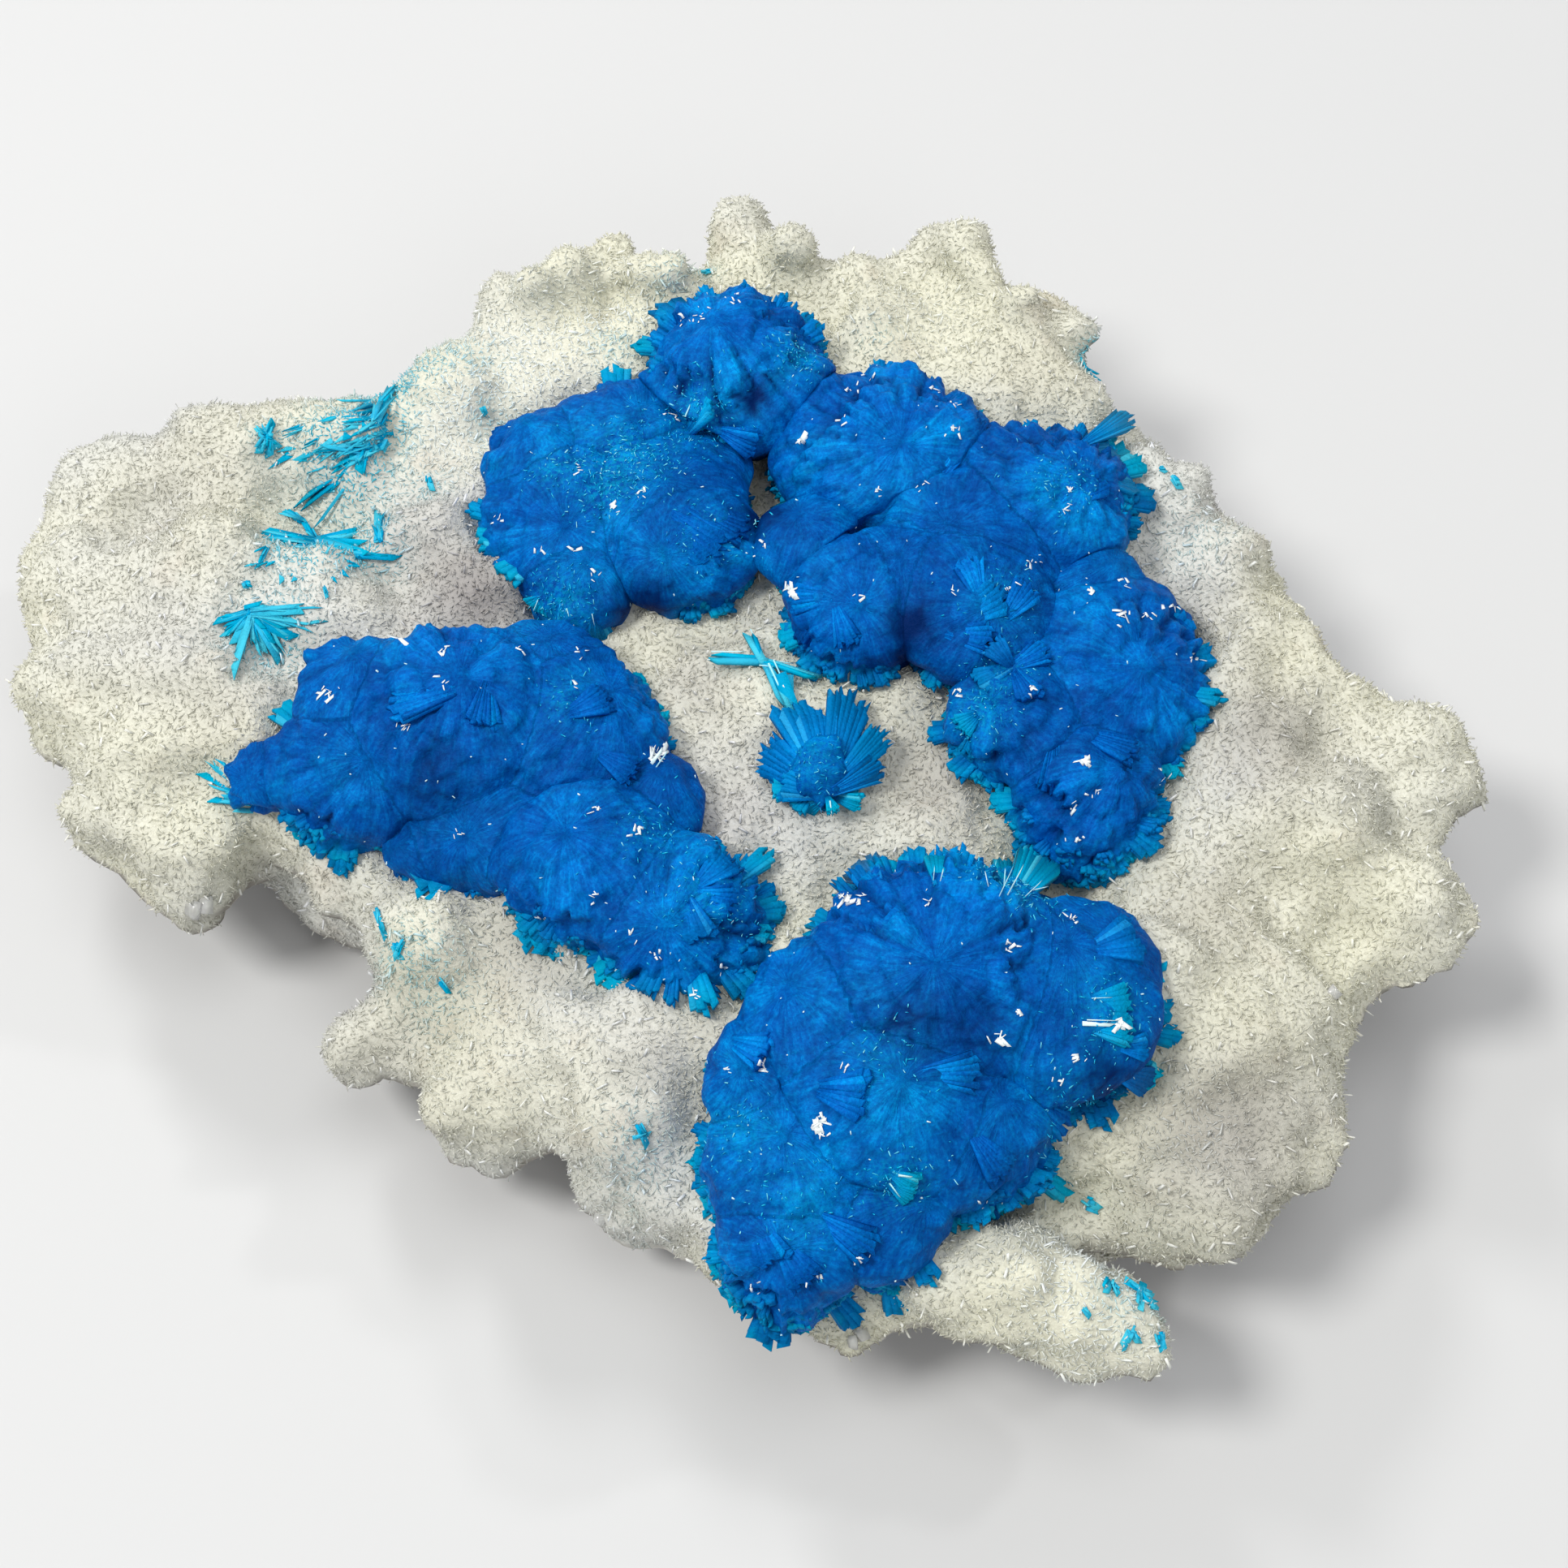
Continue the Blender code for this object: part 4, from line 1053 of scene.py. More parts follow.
def crystal_laying_tree():
    """Lays one crystal or sheaf at each point, turned and sized as the point stores."""
    tree, given, result = open_tree("crystal_laying", [
        ("Size factor", "NodeSocketVector"),
        ("Shape A", "NodeSocketObject"),
        ("Shape B", "NodeSocketObject"),
        ("Shape C", "NodeSocketObject"),
        ("Finish", "NodeSocketMaterial"),
    ])
    turned = add(tree, "FunctionNodeEulerToRotation", {0: named_value(tree, "turn", "FLOAT_VECTOR")})
    sized = add(tree, "ShaderNodeVectorMath", {
        0: named_value(tree, "size", "FLOAT_VECTOR"), 1: given.outputs["Size factor"],
    }, operation="MULTIPLY")
    crystals = add(tree, "GeometryNodeInstanceOnPoints", {
        "Points": given.outputs["Geometry"],
        "Instance": shape_choice(tree, given, ["Shape A", "Shape B", "Shape C"]),
        "Pick Instance": True,
        "Instance Index": named_value(tree, "kind", "INT"),
        "Rotation": turned.outputs[0],
        "Scale": sized.outputs[0],
    })
    end_tree(tree, crystals.outputs[0], given, result)
    return tree


def run_tree(name, source, tree, values):
    """A new plain object: what the tree makes of the source's mesh with the named input values."""
    obj = new_object(name, source.data.copy())
    modifier = obj.modifiers.new(tree.name, "NODES")
    modifier.node_group = tree
    keys = {item.name: item.identifier for item in tree.interface.items_tree if item.in_out == "INPUT"}
    for label, value in values.items():
        modifier[keys[label]] = value
    apply_modifiers(obj)
    obj.data.materials.clear()
    obj.data.materials.append(values["Finish"])
    return obj


def grow(name, source, where, habit, shapes, seed, finish):
    """Crystals of one habit, which gives their density, sizes, lean and tints, on the source."""
    return run_tree(name, source, CRYSTAL_GROWTH, {
        "Crystals per square metre": habit["density"] * PER_SQUARE_MM,
        "Least gap": habit["gap"],
        "Least size": in_metres(habit["least"]),
        "Most size": in_metres(habit["most"]),
        "Lean": habit["lean"],
        "Least tint": habit["tints"][0],
        "Most tint": habit["tints"][1],
        "Where": where,
        "Shape A": shapes[0],
        "Shape B": shapes[1],
        "Seed": seed,
        "Finish": finish,
    })


def turn_of(blade):
    """How a blade is turned from upright: along its line, and flat against what it lies on."""
    along = (blade["end"] - blade["root"]).normalized()
    across = blade.get("out", Vector((0, 0, 1))).cross(along)
    if across.length < ALMOST_IN_LINE:
        across = Vector((1, 0, 0))
    across.normalize()
    sides = Matrix((across, along.cross(across), along)).transposed()
    return (sides @ Matrix.Rotation(blade["roll"], 3, "Z")).to_euler()


def lay(name, blades, shapes, finish):
    """One piece of blades, each a dictionary of root, end, width, thick, roll, tint and kind."""
    mesh = bpy.data.meshes.new(name + "_roots")
    mesh.from_pydata([blade["root"] for blade in blades], [], [])
    lengths = [(blade["end"] - blade["root"]).length for blade in blades]
    store(mesh, "turn", [turn_of(blade) for blade in blades])
    store(mesh, "size", [
        (blade["width"], blade["thick"], length) for blade, length in zip(blades, lengths)
    ])
    store(mesh, "tint", [blade["tint"] for blade in blades])
    store(mesh, "edge", [blade.get("edge", 0.0) for blade in blades])
    store(mesh, "brightness", [blade.get("white", 0.0) for blade in blades])
    ends = np.array([blade["end"] for blade in blades])
    # Painted shade on blades that end in the hollows.
    store(mesh, "hollow", np.clip(soft_spots(ends, SHADED_HOLLOWS), 0, DARKEST_BLADE))
    kinds = mesh.attributes.new("kind", "INT", "POINT")
    kinds.data.foreach_set("value", [blade["kind"] for blade in blades])
    roots = new_object(name + "_roots", mesh)
    piece = run_tree(name, roots, CRYSTAL_LAYING, {
        "Size factor": (1.0, 1.0, 1.0),
        "Shape A": shapes[0],
        "Shape B": shapes[1],
        "Shape C": shapes[2],
        "Finish": finish,
    })
    bpy.data.objects.remove(roots)
    return piece


def join_meshes(name, objects):
    """One object of several. The others are removed."""
    first = objects[0]
    with bpy.context.temp_override(active_object=first, selected_editable_objects=objects):
        bpy.ops.object.join()
    first.name = name
    first.data.name = name
    return first


def hand_over(obj, finish_slot, *nodes):
    """Tells the frame that this finished piece rides with the stone."""
    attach(obj, "root")
    if nodes:
        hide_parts(*nodes)


# The slab.

def relief(obj, name, kind, size, depth):
    pattern = bpy.data.textures.new(name, kind)
    pattern.noise_scale = size
    push = obj.modifiers.new(name, "DISPLACE")
    push.texture = pattern
    push.texture_coords = "LOCAL"
    push.strength = depth
    push.mid_level = 0.5


def add_rim_lumps(shape, stone_tree):
    """Round lumps that melt into the slab's back rim."""
    for near_column, near_row, column, row, radius in RIM_LUMPS:
        near = seen_on(stone_tree, near_column, near_row)[0]
        if near is not None:
            middle = beside_in_view(near, column, row)
            bmesh.ops.create_icosphere(
                shape, subdivisions=3, radius=radius * MM, matrix=Matrix.Translation(middle)
            )


def make_ground(stone, stone_tree):
    """The slab's own shape, rounded and nodular, pulled in by the height of the druse on it."""
    shape = bmesh.new()
    shape.from_mesh(stone.data)
    bmesh.ops.remove_doubles(shape, verts=shape.verts, dist=WELD_GAP)
    add_rim_lumps(shape, stone_tree)
    ground = object_from_bmesh("stilbite_ground", shape)
    remesh = ground.modifiers.new("even_faces", "REMESH")
    remesh.mode = "VOXEL"
    remesh.voxel_size = GROUND_VOXEL
    soften = ground.modifiers.new("soften", "SMOOTH")
    soften.factor = 0.5
    soften.iterations = GROUND_SMOOTH_STEPS
    relief(ground, "knobs", "VORONOI", KNOB_SIZE, -KNOB_DEPTH)
    relief(ground, "nodules", "CLOUDS", NODULE_SIZE, NODULE_DEPTH)
    apply_modifiers(ground)
    points = read_points(ground.data)
    normals = read_normals(ground.data)
    underneath = smooth_step(*UNDERSIDE_SLOPE, -normals[:, 2])
    low = 1 - smooth_step(BROKEN_BELOW - BROKEN_SOFTNESS, BROKEN_BELOW + BROKEN_SOFTNESS, points[:, 2])
    broken = np.maximum(underneath, low)
    points -= normals * (GROUND_PULL * (1 - broken))[:, None]
    points[:, 2] = np.where(points[:, 2] < FLAT_BELOW, 0.0, points[:, 2])
    write_points(ground.data, points)
    store(ground.data, "broken", broken)
    return ground


def soft_spots(points, spots):
    """The sum of soft round spots, each x, y, radius and strength, in the millimetre plan."""
    total = np.zeros(len(points))
    for x, y, radius, strength in spots:
        far = np.linalg.norm(points[:, :2] - np.array(plan(x, y))[:2], axis=1) / (radius * MM)
        total += strength * np.exp(-far * far)
    return total


def seen_spots(points, tree, spots):
    """The sum of soft round spots where the photograph shows them on a surface."""
    total = np.zeros(len(points))
    for column, row, radius, strength in spots:
        place = seen_on(tree, column, row)[0]
        if place is not None:
            far = np.linalg.norm(points - np.array(place), axis=1) / (radius * MM)
            total += strength * np.exp(-far * far)
    return total


def prepare_for_druse(ground, ground_tree, bursts):
    """Stores where prisms grow on the ground, which way, and how they are tinted there, with painted shade
    and painted light in spots.
    """
    points = read_points(ground.data)
    broken = np.empty(len(points), np.float32)
    ground.data.attributes["broken"].data.foreach_get("value", broken)
    bare = smooth_step(*DRUSE_BARE, broken)
    for centre, radius in bursts:
        far = np.linalg.norm(points - np.array(centre), axis=1) / radius
        bare = np.maximum(bare, (far < BARE_UNDER_BURST).astype(float))
    turns = np.degrees(np.arctan2(points[:, 1], points[:, 0]))
    side = np.floor((turns + 360 - DRUSE_START) % 360 / DRUSE_SECTOR)
    for index in range(DRUSE_PIECES):
        store(ground.data, f"druse_{index}", (1 - bare) * (side == index))
    store(ground.data, "growing_way", read_normals(ground.data))
    # Painted shade in spots, where the druse lies darker in the light.
    store(ground.data, "shade", np.clip(seen_spots(points, ground_tree, PAINTED_SHADE_SPOTS), 0, 1))
    # Painted light in spots, where the druse lies brighter in the light.
    store(ground.data, "brightness", np.clip(soft_spots(points, PAINTED_LIGHT_SPOTS), 0, 1))
    wash = soft_spots(points, BLUE_SPOTS) + seen_spots(points, ground_tree, BLUE_PATCHES)
    store(ground.data, "blue_wash", np.clip(wash, 0, 1))


def grow_druse(ground, shapes, laths, finish):
    """Prisms over the whole slab, in a few pieces round it, with larger clear laths among them."""
    lifted = new_object("druse_top", ground.data.copy())
    write_points(lifted.data, read_points(ground.data) + read_normals(ground.data) * LATH_LIFT)
    pieces = []
    for index in range(DRUSE_PIECES):
        where = f"druse_{index}"
        fine = grow(f"fine_{index}", ground, where, FINE_PRISMS, shapes, PRISM_SEED + index, finish)
        coarse = grow(f"coarse_{index}", lifted, where, BRIGHT_LATHS, laths, LATH_SEED + index, finish)
        piece = join_meshes(f"stilbite_druse_{index + 1}", [fine, coarse])
        keep_layers(piece.data, DRUSE_LAYERS)
        pieces.append(piece)
    bpy.data.objects.remove(lifted)
    return pieces


# The bursts.

def burst_places(tree):
    """Middle and radius of each burst of each cluster, in metres, seated on the stone."""
    places = {}
    for name, bursts in CLUSTERS.items():
        places[name] = []
        for x, y, radius in bursts:
            centre = plan(x, y)
            centre.z = height_below(tree, centre.x, centre.y) + SEAT_SHARE * radius * MM
            places[name].append((centre, radius * MM))
    return places


def share_of(point, burst):
    """How far out in a burst a point lies: 1 at its radius."""
    centre, radius = burst
    offset = point - centre
    return Vector((offset.x, offset.y, offset.z / DOME_SHARE)).length / radius


def draw(count, low, high, dice):
    """So many random numbers."""
    return np.array([dice.uniform(low, high) for _ in range(count)])


def wedges_round(turns, count, dice):
    """The number of the wedge that each turn falls in, and the angle to the wedge's nearer border."""
    borders = np.arange(count) + draw(count, -BORDER_JITTER, BORDER_JITTER, dice)
    borders = np.sort(borders * 2 * math.pi / count % (2 * math.pi))
    turns = turns % (2 * math.pi)
    number = np.searchsorted(borders, turns) % count
    ahead = (borders[number] - turns) % (2 * math.pi)
    behind = (turns - borders[number - 1]) % (2 * math.pi)
    return number, np.minimum(ahead, behind)


def round_the_axis(ways, dice):
    """Turn and tilt of each way round a burst's own axis, which leans a little."""
    axis = Vector((*draw(2, -AXIS_LEAN, AXIS_LEAN, dice), 1)).normalized()
    turned = np.array(Vector((0, 0, 1)).rotation_difference(axis).to_matrix())
    local = ways @ turned
    return np.arctan2(local[:, 1], local[:, 0]), np.arccos(np.clip(local[:, 2], -1, 1))


def part_into_wedges(ways, rim, radius, dice):
    """Height, painted shade in the creases and under the fronts, tone and grain that the wedges of one
    burst give along the given ways.
    """
    turns, tilts = round_the_axis(ways, dice)
    inner_count = max(LEAST_INNER, round(radius / MM * INNER_WEDGES))
    outer_count = max(LEAST_OUTER, round(radius / MM * OUTER_WEDGES))
    inner, inner_far = wedges_round(turns, inner_count, dice)
    outer, outer_far = wedges_round(turns, outer_count, dice)

    laths = round(2 * math.pi * radius / LATH_SPACING)
    lath = np.floor((turns + math.pi) / (2 * math.pi) * (laths - 1)).astype(int)
    lath_own = draw(laths, -1, 1, dice)[lath]
    past_front = tilts - draw(inner_count, *WEDGE_FRONT, dice)[inner] - lath_own * LATH_FRONT
    drops = draw(inner_count, *FRONT_DROP, dice)[inner]
    behind = smooth_step(*FRONT_EDGE, past_front)
    inner_step = draw(inner_count, -1, 1, dice)[inner]
    outer_step = draw(outer_count, -1, 1, dice)[outer]
    step = inner_step * (1 - behind) + outer_step * behind
    spread = smooth_step(*OPENING, tilts)
    height = step * WEDGE_STEP * spread
    height -= drops * behind * (1 - smooth_step(*FRONT_RISE, past_front))
    height += lath_own * (LATH_STEP * spread + TOOTH_STEP * rim)

    far = np.where(behind > 0.5, outer_far, inner_far) * radius * np.sin(tilts)
    crease = np.exp(-far / CREASE_WIDTH) * spread
    depth = draw(outer_count, *CREASE_DEPTH, dice)[outer]
    height += WEDGE_CROWN * (1 - np.exp(-far / CROWN_WIDTH)) * spread - depth * crease
    front_shadow = behind * (1 - smooth_step(*FRONT_SHADOW, past_front))
    painted_shade = CREASE_SHADE * crease * depth / CREASE_DEPTH[1]
    painted_shade += FRONT_SHADE * front_shadow * drops / FRONT_DROP[1]
    grain = np.stack((np.cos(turns) * GRAIN_ROUND, np.sin(turns) * GRAIN_ROUND, tilts * GRAIN_OUT), axis=1)
    return height, painted_shade, 0.5 + WEDGE_TONE * step, grain


def facet_heads(points, dice):
    """Small slanted heads of blades all over a cluster: height and crease for every point."""
    low, high = points.min(axis=0), points.max(axis=0)
    cells = ((high - low) / HEAD_SPACING).astype(int) + 1
    heads = []
    for x in range(cells[0]):
        for y in range(cells[1]):
            for z in range(cells[2]):
                jitter = np.array([dice.random() for _ in range(3)])
                heads.append(low + (np.array((x, y, z)) + jitter) * HEAD_SPACING)
    heads = np.array(heads)
    lookup = KDTree(len(heads))
    for index, head in enumerate(heads):
        lookup.insert(head, index)
    lookup.balance()
    steps = draw(len(heads), -1, 1, dice) * HEAD_STEP
    slants = draw(3 * len(heads), -1, 1, dice).reshape(-1, 3) * HEAD_SLANT
    height = np.zeros(len(points))
    crease = np.zeros(len(points))
    for row, point in enumerate(points):
        (_, first, near), (_, _, next_near) = lookup.find_n(point, 2)
        crease[row] = math.exp(-(next_near - near) / HEAD_CREASE_WIDTH)
        height[row] = steps[first] + slants[first] @ (point - heads[first]) - HEAD_CREASE * crease[row]
    return height, crease


def melt_domes(name, bursts):
    """One even mesh round all the domes of a cluster."""
    shape = bmesh.new()
    for centre, radius in bursts:
        size = Matrix.Diagonal((radius, radius, radius * DOME_SHARE, 1.0))
        bmesh.ops.create_icosphere(
            shape, subdivisions=4, radius=DOME_REACH, matrix=Matrix.Translation(centre) @ size
        )
    carpet = object_from_bmesh(name + "_carpet", shape)
    remesh = carpet.modifiers.new("run_together", "REMESH")
    remesh.mode = "VOXEL"
    remesh.voxel_size = CARPET_VOXEL
    apply_modifiers(carpet)
    return carpet


def pull_of_bursts(points, bursts):
    """The way out of each burst at each point, and how strongly the burst pulls there."""
    squash = np.array((1, 1, 1 / DOME_SHARE))
    offsets = np.array([(points - np.array(centre)) * squash for centre, _ in bursts])
    reaches = np.linalg.norm(offsets, axis=2)
    radii = np.array([radius for _, radius in bursts])
    ways = offsets / reaches[:, :, None] / squash
    ways /= np.linalg.norm(ways, axis=2)[:, :, None]
    outside = reaches - radii[:, None] * DOME_REACH
    return ways, np.exp(-np.clip(outside, -DEEPEST_INSIDE, FARTHEST_OUTSIDE) / MELT)


def at_the_rim(points, out, ground_tree):
    """How far single laths stand out: most low over the stone, and where the burst turns to the back."""
    over = [z - (height_below(ground_tree, x, y) or z) for x, y, z in points]
    at_foot = 1 - smooth_step(*FOOT_HEIGHT, np.array(over))
    at_back = smooth_step(*FACING_BACK, out[:, 1])
    return np.maximum(at_foot, at_back) * (1 - smooth_step(*RIM_TILT, out[:, 2]))


def seat_on_ground(points, lowest, ground_tree):
    """Keeps the points near the stone from below, and returns how high they are over it, in millimetres."""
    points[:, 2] = np.maximum(points[:, 2], lowest)
    above = np.full(len(points), BEYOND_THE_STONE)
    for row, (x, y, z) in enumerate(points):
        height = height_below(ground_tree, x, y)
        if height is not None:
            points[row, 2] = max(z, height - SUNK_BELOW_GROUND)
            above[row] = (z - height) / MM
    return above


def soften_carpet(carpet, seam):
    """Smooths the whole carpet a little, and the seams between its bursts more."""
    soften = carpet.modifiers.new("soften", "SMOOTH")
    soften.factor = 0.4
    soften.iterations = 1
    weights = carpet.vertex_groups.new(name="seams")
    for row, weight in enumerate(seam):
        if weight > LEAST_SEAM:
            weights.add([row], float(weight), "REPLACE")
    melted = carpet.modifiers.new("melted_seams", "SMOOTH")
    melted.factor = 0.5
    melted.iterations = SEAM_SMOOTH_STEPS
    melted.vertex_group = "seams"
    apply_modifiers(carpet)
    carpet.vertex_groups.clear()


def store_looks(carpet, out, seam, above, hollow, tone):
    """Stores what the glitter and the finish need on a carpet. Returns the carpet's search tree."""
    mesh = carpet.data
    points = read_points(mesh)
    normals = read_normals(mesh)
    growing = out * 0.8 + normals * 0.2
    growing /= np.linalg.norm(growing, axis=1)[:, None]
    edge = (1 - smooth_step(*EDGE_HEIGHTS, above)) * (1 - smooth_step(*EDGE_TILT, out[:, 2])) * (1 - seam)
    # Painted shade: the carpet's creases and seams and the hollows, kept off the rim.
    hollow = (hollow + soft_spots(points, SHADED_HOLLOWS)) * (1 - edge)
    store(mesh, "growing_way", growing)
    store(mesh, "hollow", np.clip(hollow, 0, 1))
    store(mesh, "edge", edge)
    store(mesh, "blades", smooth_step(*SHOWN_HEIGHT, above) * smooth_step(*SHOWN_SLOPE, normals[:, 2]))
    store(mesh, "tint", np.full(len(points), CARPET_TINT))
    store(mesh, "tip", np.full(len(points), CARPET_TIP))
    tree = BVHTree.FromObject(carpet, bpy.context.evaluated_depsgraph_get())
    # Lighter regions, partly painted light, lift the strands' tone.
    light = seen_spots(points, tree, LIGHT_REGIONS)
    store(mesh, "strand", np.clip(tone + LIGHT_TONE * light, 0, MOST_STRAND))
    store(mesh, "sparkle", np.clip(seen_spots(points, tree, SPARKLES), 0, 1))
    return tree


def make_carpet(name, bursts, ground_tree, dice):
    """The velvety body of a cluster: its bursts melted into one another and parted into wedges."""
    carpet = melt_domes(name, bursts)
    points = read_points(carpet.data)
    ways, pulls = pull_of_bursts(points, bursts)
    total = pulls.sum(axis=0)
    shares = pulls / total
    out = np.einsum("kn,kni->ni", shares, ways)
    out /= np.linalg.norm(out, axis=1)[:, None]
    own = np.argmax(shares, axis=0)
    seam = smooth_step(*SEAM_RANGE, 1 - shares.max(axis=0))
    lift = np.log(total) * MELT * (1 - HELD_BACK * (1 - smooth_step(*FACING_UP, out[:, 2])))
    rim = at_the_rim(points, out, ground_tree)

    grain = np.zeros((len(points), 3))
    # Painted shade: along the seams between bursts, then in the creases, under the wedge fronts and between
    # the blade heads.
    hollow = SEAM_SHADE * seam
    tone = np.full(len(points), 0.5)
    for index, (centre, radius) in enumerate(bursts):
        mine = own == index
        height, painted_shade, tones, grains = part_into_wedges(ways[index][mine], rim[mine], radius, dice)
        fade = 1 - SEAM_FADE * seam[mine]
        lift[mine] += height * fade
        hollow[mine] += painted_shade * fade
        tone[mine] = tones
        grain[mine] = grains + np.array(centre) * 3
    points += out * lift[:, None]
    step, crease = facet_heads(points, dice)
    points += out * step[:, None]
    lowest = np.array([centre.z - LOWEST_REACH * radius for centre, radius in bursts])
    above = seat_on_ground(points, lowest[own], ground_tree)
    write_points(carpet.data, points)
    soften_carpet(carpet, seam)
    store(carpet.data, "grain", grain)
    tree = store_looks(carpet, out, seam, above, hollow + HEAD_SHADE * crease, tone)
    return carpet, tree


def ring_sheaves(bursts, ground_tree, dice):
    """Sheaves round every burst, where they come out of the cluster and above the stone."""
    sheaves = []
    for index, (centre, radius) in enumerate(bursts):
        if radius < SMALLEST_RINGED:
            continue
        others = [burst for other, burst in enumerate(bursts) if other != index]
        for height, spacing, roll in SHEAF_RINGS:
            rise = math.radians(height)
            count = max(3, round(2 * math.pi * radius * math.cos(rise) / (spacing * MM)))
            for step in range(count):
                turn = 2 * math.pi * (step + dice.uniform(-RING_JITTER, RING_JITTER)) / count
                tilt = rise + dice.uniform(-TILT_JITTER, TILT_JITTER)
                flat = math.cos(tilt)
                way = Vector((flat * math.cos(turn), flat * math.sin(turn), math.sin(tilt) * DOME_SHARE))
                end = centre + way * radius * dice.uniform(*SHEAF_REACH)
                if any(share_of(end, burst) < 1.0 for burst in others) or dice.random() < SHEAF_LEFT_OUT:
                    continue
                ground_height = height_below(ground_tree, end.x, end.y)
                if ground_height is not None and end.z < ground_height - SUNK_SHEAF:
                    continue
                low = 1 - height / RING_FADES_AT
                sheaves.append({
                    "root": centre.lerp(end, SHEAF_ROOT),
                    "end": end,
                    "width": dice.uniform(*SHEAF_WIDTH) * MM,
                    "thick": dice.uniform(*SHEAF_THICK) * MM,
                    "roll": dice.uniform(-roll, roll),
                    "tint": dice.uniform(*RING_TINTS) * (0.5 + 0.5 * low),
                    "edge": low,
                    "kind": dice.randrange(3),
                })
    return sheaves


def long_sheaves(ends, bursts, ground_tree, dice):
    """The sheaves that reach farthest out, from the middle of the nearest burst to a given end."""
    sheaves = []
    for x, y, width in ends:
        end = plan(x, y)
        centre, radius = min(bursts, key=lambda burst: (burst[0].xy - end.xy).length / burst[1])
        ground_height = height_below(ground_tree, end.x, end.y)
        low = centre.z - OFF_THE_EDGE if ground_height is None else ground_height
        end.z = max(low + OVER_THE_STONE, centre.z - LOWEST_END)
        flat = (end.xy - centre.xy).length / radius
        if flat < STILL_ON_TOP:
            end.z = max(end.z, centre.z + radius * DOME_SHARE * math.sqrt(1 - flat * flat))
        raised = centre + Vector((0, 0, 0.3 * radius))
        sheaves.append({
            "root": raised.lerp(end, LONG_SHEAF_ROOT),
            "end": end,
            "width": width * MM,
            "thick": LONG_SHEAF_THICK * MM,
            "roll": dice.uniform(-0.2, 0.2),
            "tint": dice.uniform(*LONG_SHEAF_TINTS),
            "edge": 0.8,
            "kind": dice.randrange(3),
        })
    return sheaves


def top_sheaves(tree, ground_tree):
    """The broad sheaves that the photograph shows on a cluster's surface."""
    sheaves = []
    for column, row, end_column, end_row, width, tint in TOP_SHEAVES:
        root, root_way = seen_on(tree, column, row)
        end, end_way = seen_on(tree, end_column, end_row)
        if root is None:
            continue
        if end is None:
            end, end_way = seen_on(ground_tree, end_column, end_row)
            if end is None:
                continue
            end = end + end_way * PLATE_OVER_GROUND
        sheaves.append({
            "root": root - root_way * TOP_SHEAF_SUNK,
            "end": end + end_way * TOP_SHEAF_LIFT,
            "width": width * MM,
            "thick": TOP_SHEAF_THICK,
            "roll": 0.0,
            "out": root_way + end_way,
            "tint": tint,
            "edge": max(0.0, tint - 0.6),
            "kind": len(sheaves) % 3,
        })
    return sheaves


def grow_cluster(name, bursts, ground_tree, kinds, lath, finishes, dice, seed):
    """A cluster's blades in one piece and its glitter in another."""
    sheaf_kinds, plate_kinds = kinds
    finish, glittering = finishes
    carpet, carpet_tree = make_carpet(name, bursts, ground_tree, dice)
    carpet.data.materials.clear()
    carpet.data.materials.append(finish)
    sheaves = ring_sheaves(bursts, ground_tree, dice)
    sheaves += long_sheaves(LONG_SHEAVES[name], bursts, ground_tree, dice)
    laid = lay(name + "_sheaves", sheaves, sheaf_kinds, finish)
    plates = lay(name + "_plates", top_sheaves(carpet_tree, ground_tree), plate_kinds, finish)
    glitter = grow(name + "_glitter", carpet, "sparkle", GLITTER, (lath, lath), seed, glittering)
    specks = grow(name + "_specks", carpet, "blades", PALE_SPECKS, (lath, lath), seed + 1, glittering)
    glitter = join_meshes(name + "_glitter", [glitter, specks])
    keep_layers(glitter.data, ("tint", "tip"))
    piece = join_meshes(name + "_blades", [carpet, laid, plates])
    keep_layers(piece.data, BLUE_LAYERS)
    return piece, glitter


def set_on_ground(place, lift, ground_tree):
    """Sets a place over the stone, or over the nearest edge where no stone is below it."""
    height = height_below(ground_tree, place.x, place.y)
    if height is None:
        edge = ground_tree.find_nearest(Vector((place.x, place.y, EDGE_HEIGHT)))[0]
        place.xy = edge.xy
        height = edge.z
    place.z = height + lift * MM


def blade_on_ground(root, end, width, thick, lifts, ground_tree, dice):
    """One thin blade over the druse. The lifts are the heights of its root and end over the ground."""
    set_on_ground(root, lifts[0], ground_tree)
    set_on_ground(end, lifts[1], ground_tree)
    steepest = MOST_SLOPE * (end.xy - root.xy).length
    end.z = min(max(end.z, root.z - steepest), root.z + steepest)
    return {
        "root": root, "end": end, "width": width * MM, "thick": thick * MM,
        "roll": dice.uniform(-0.5, 0.5), "tint": dice.uniform(*SPRAY_TINTS), "edge": 1.0,
        "kind": dice.randrange(3),
    }


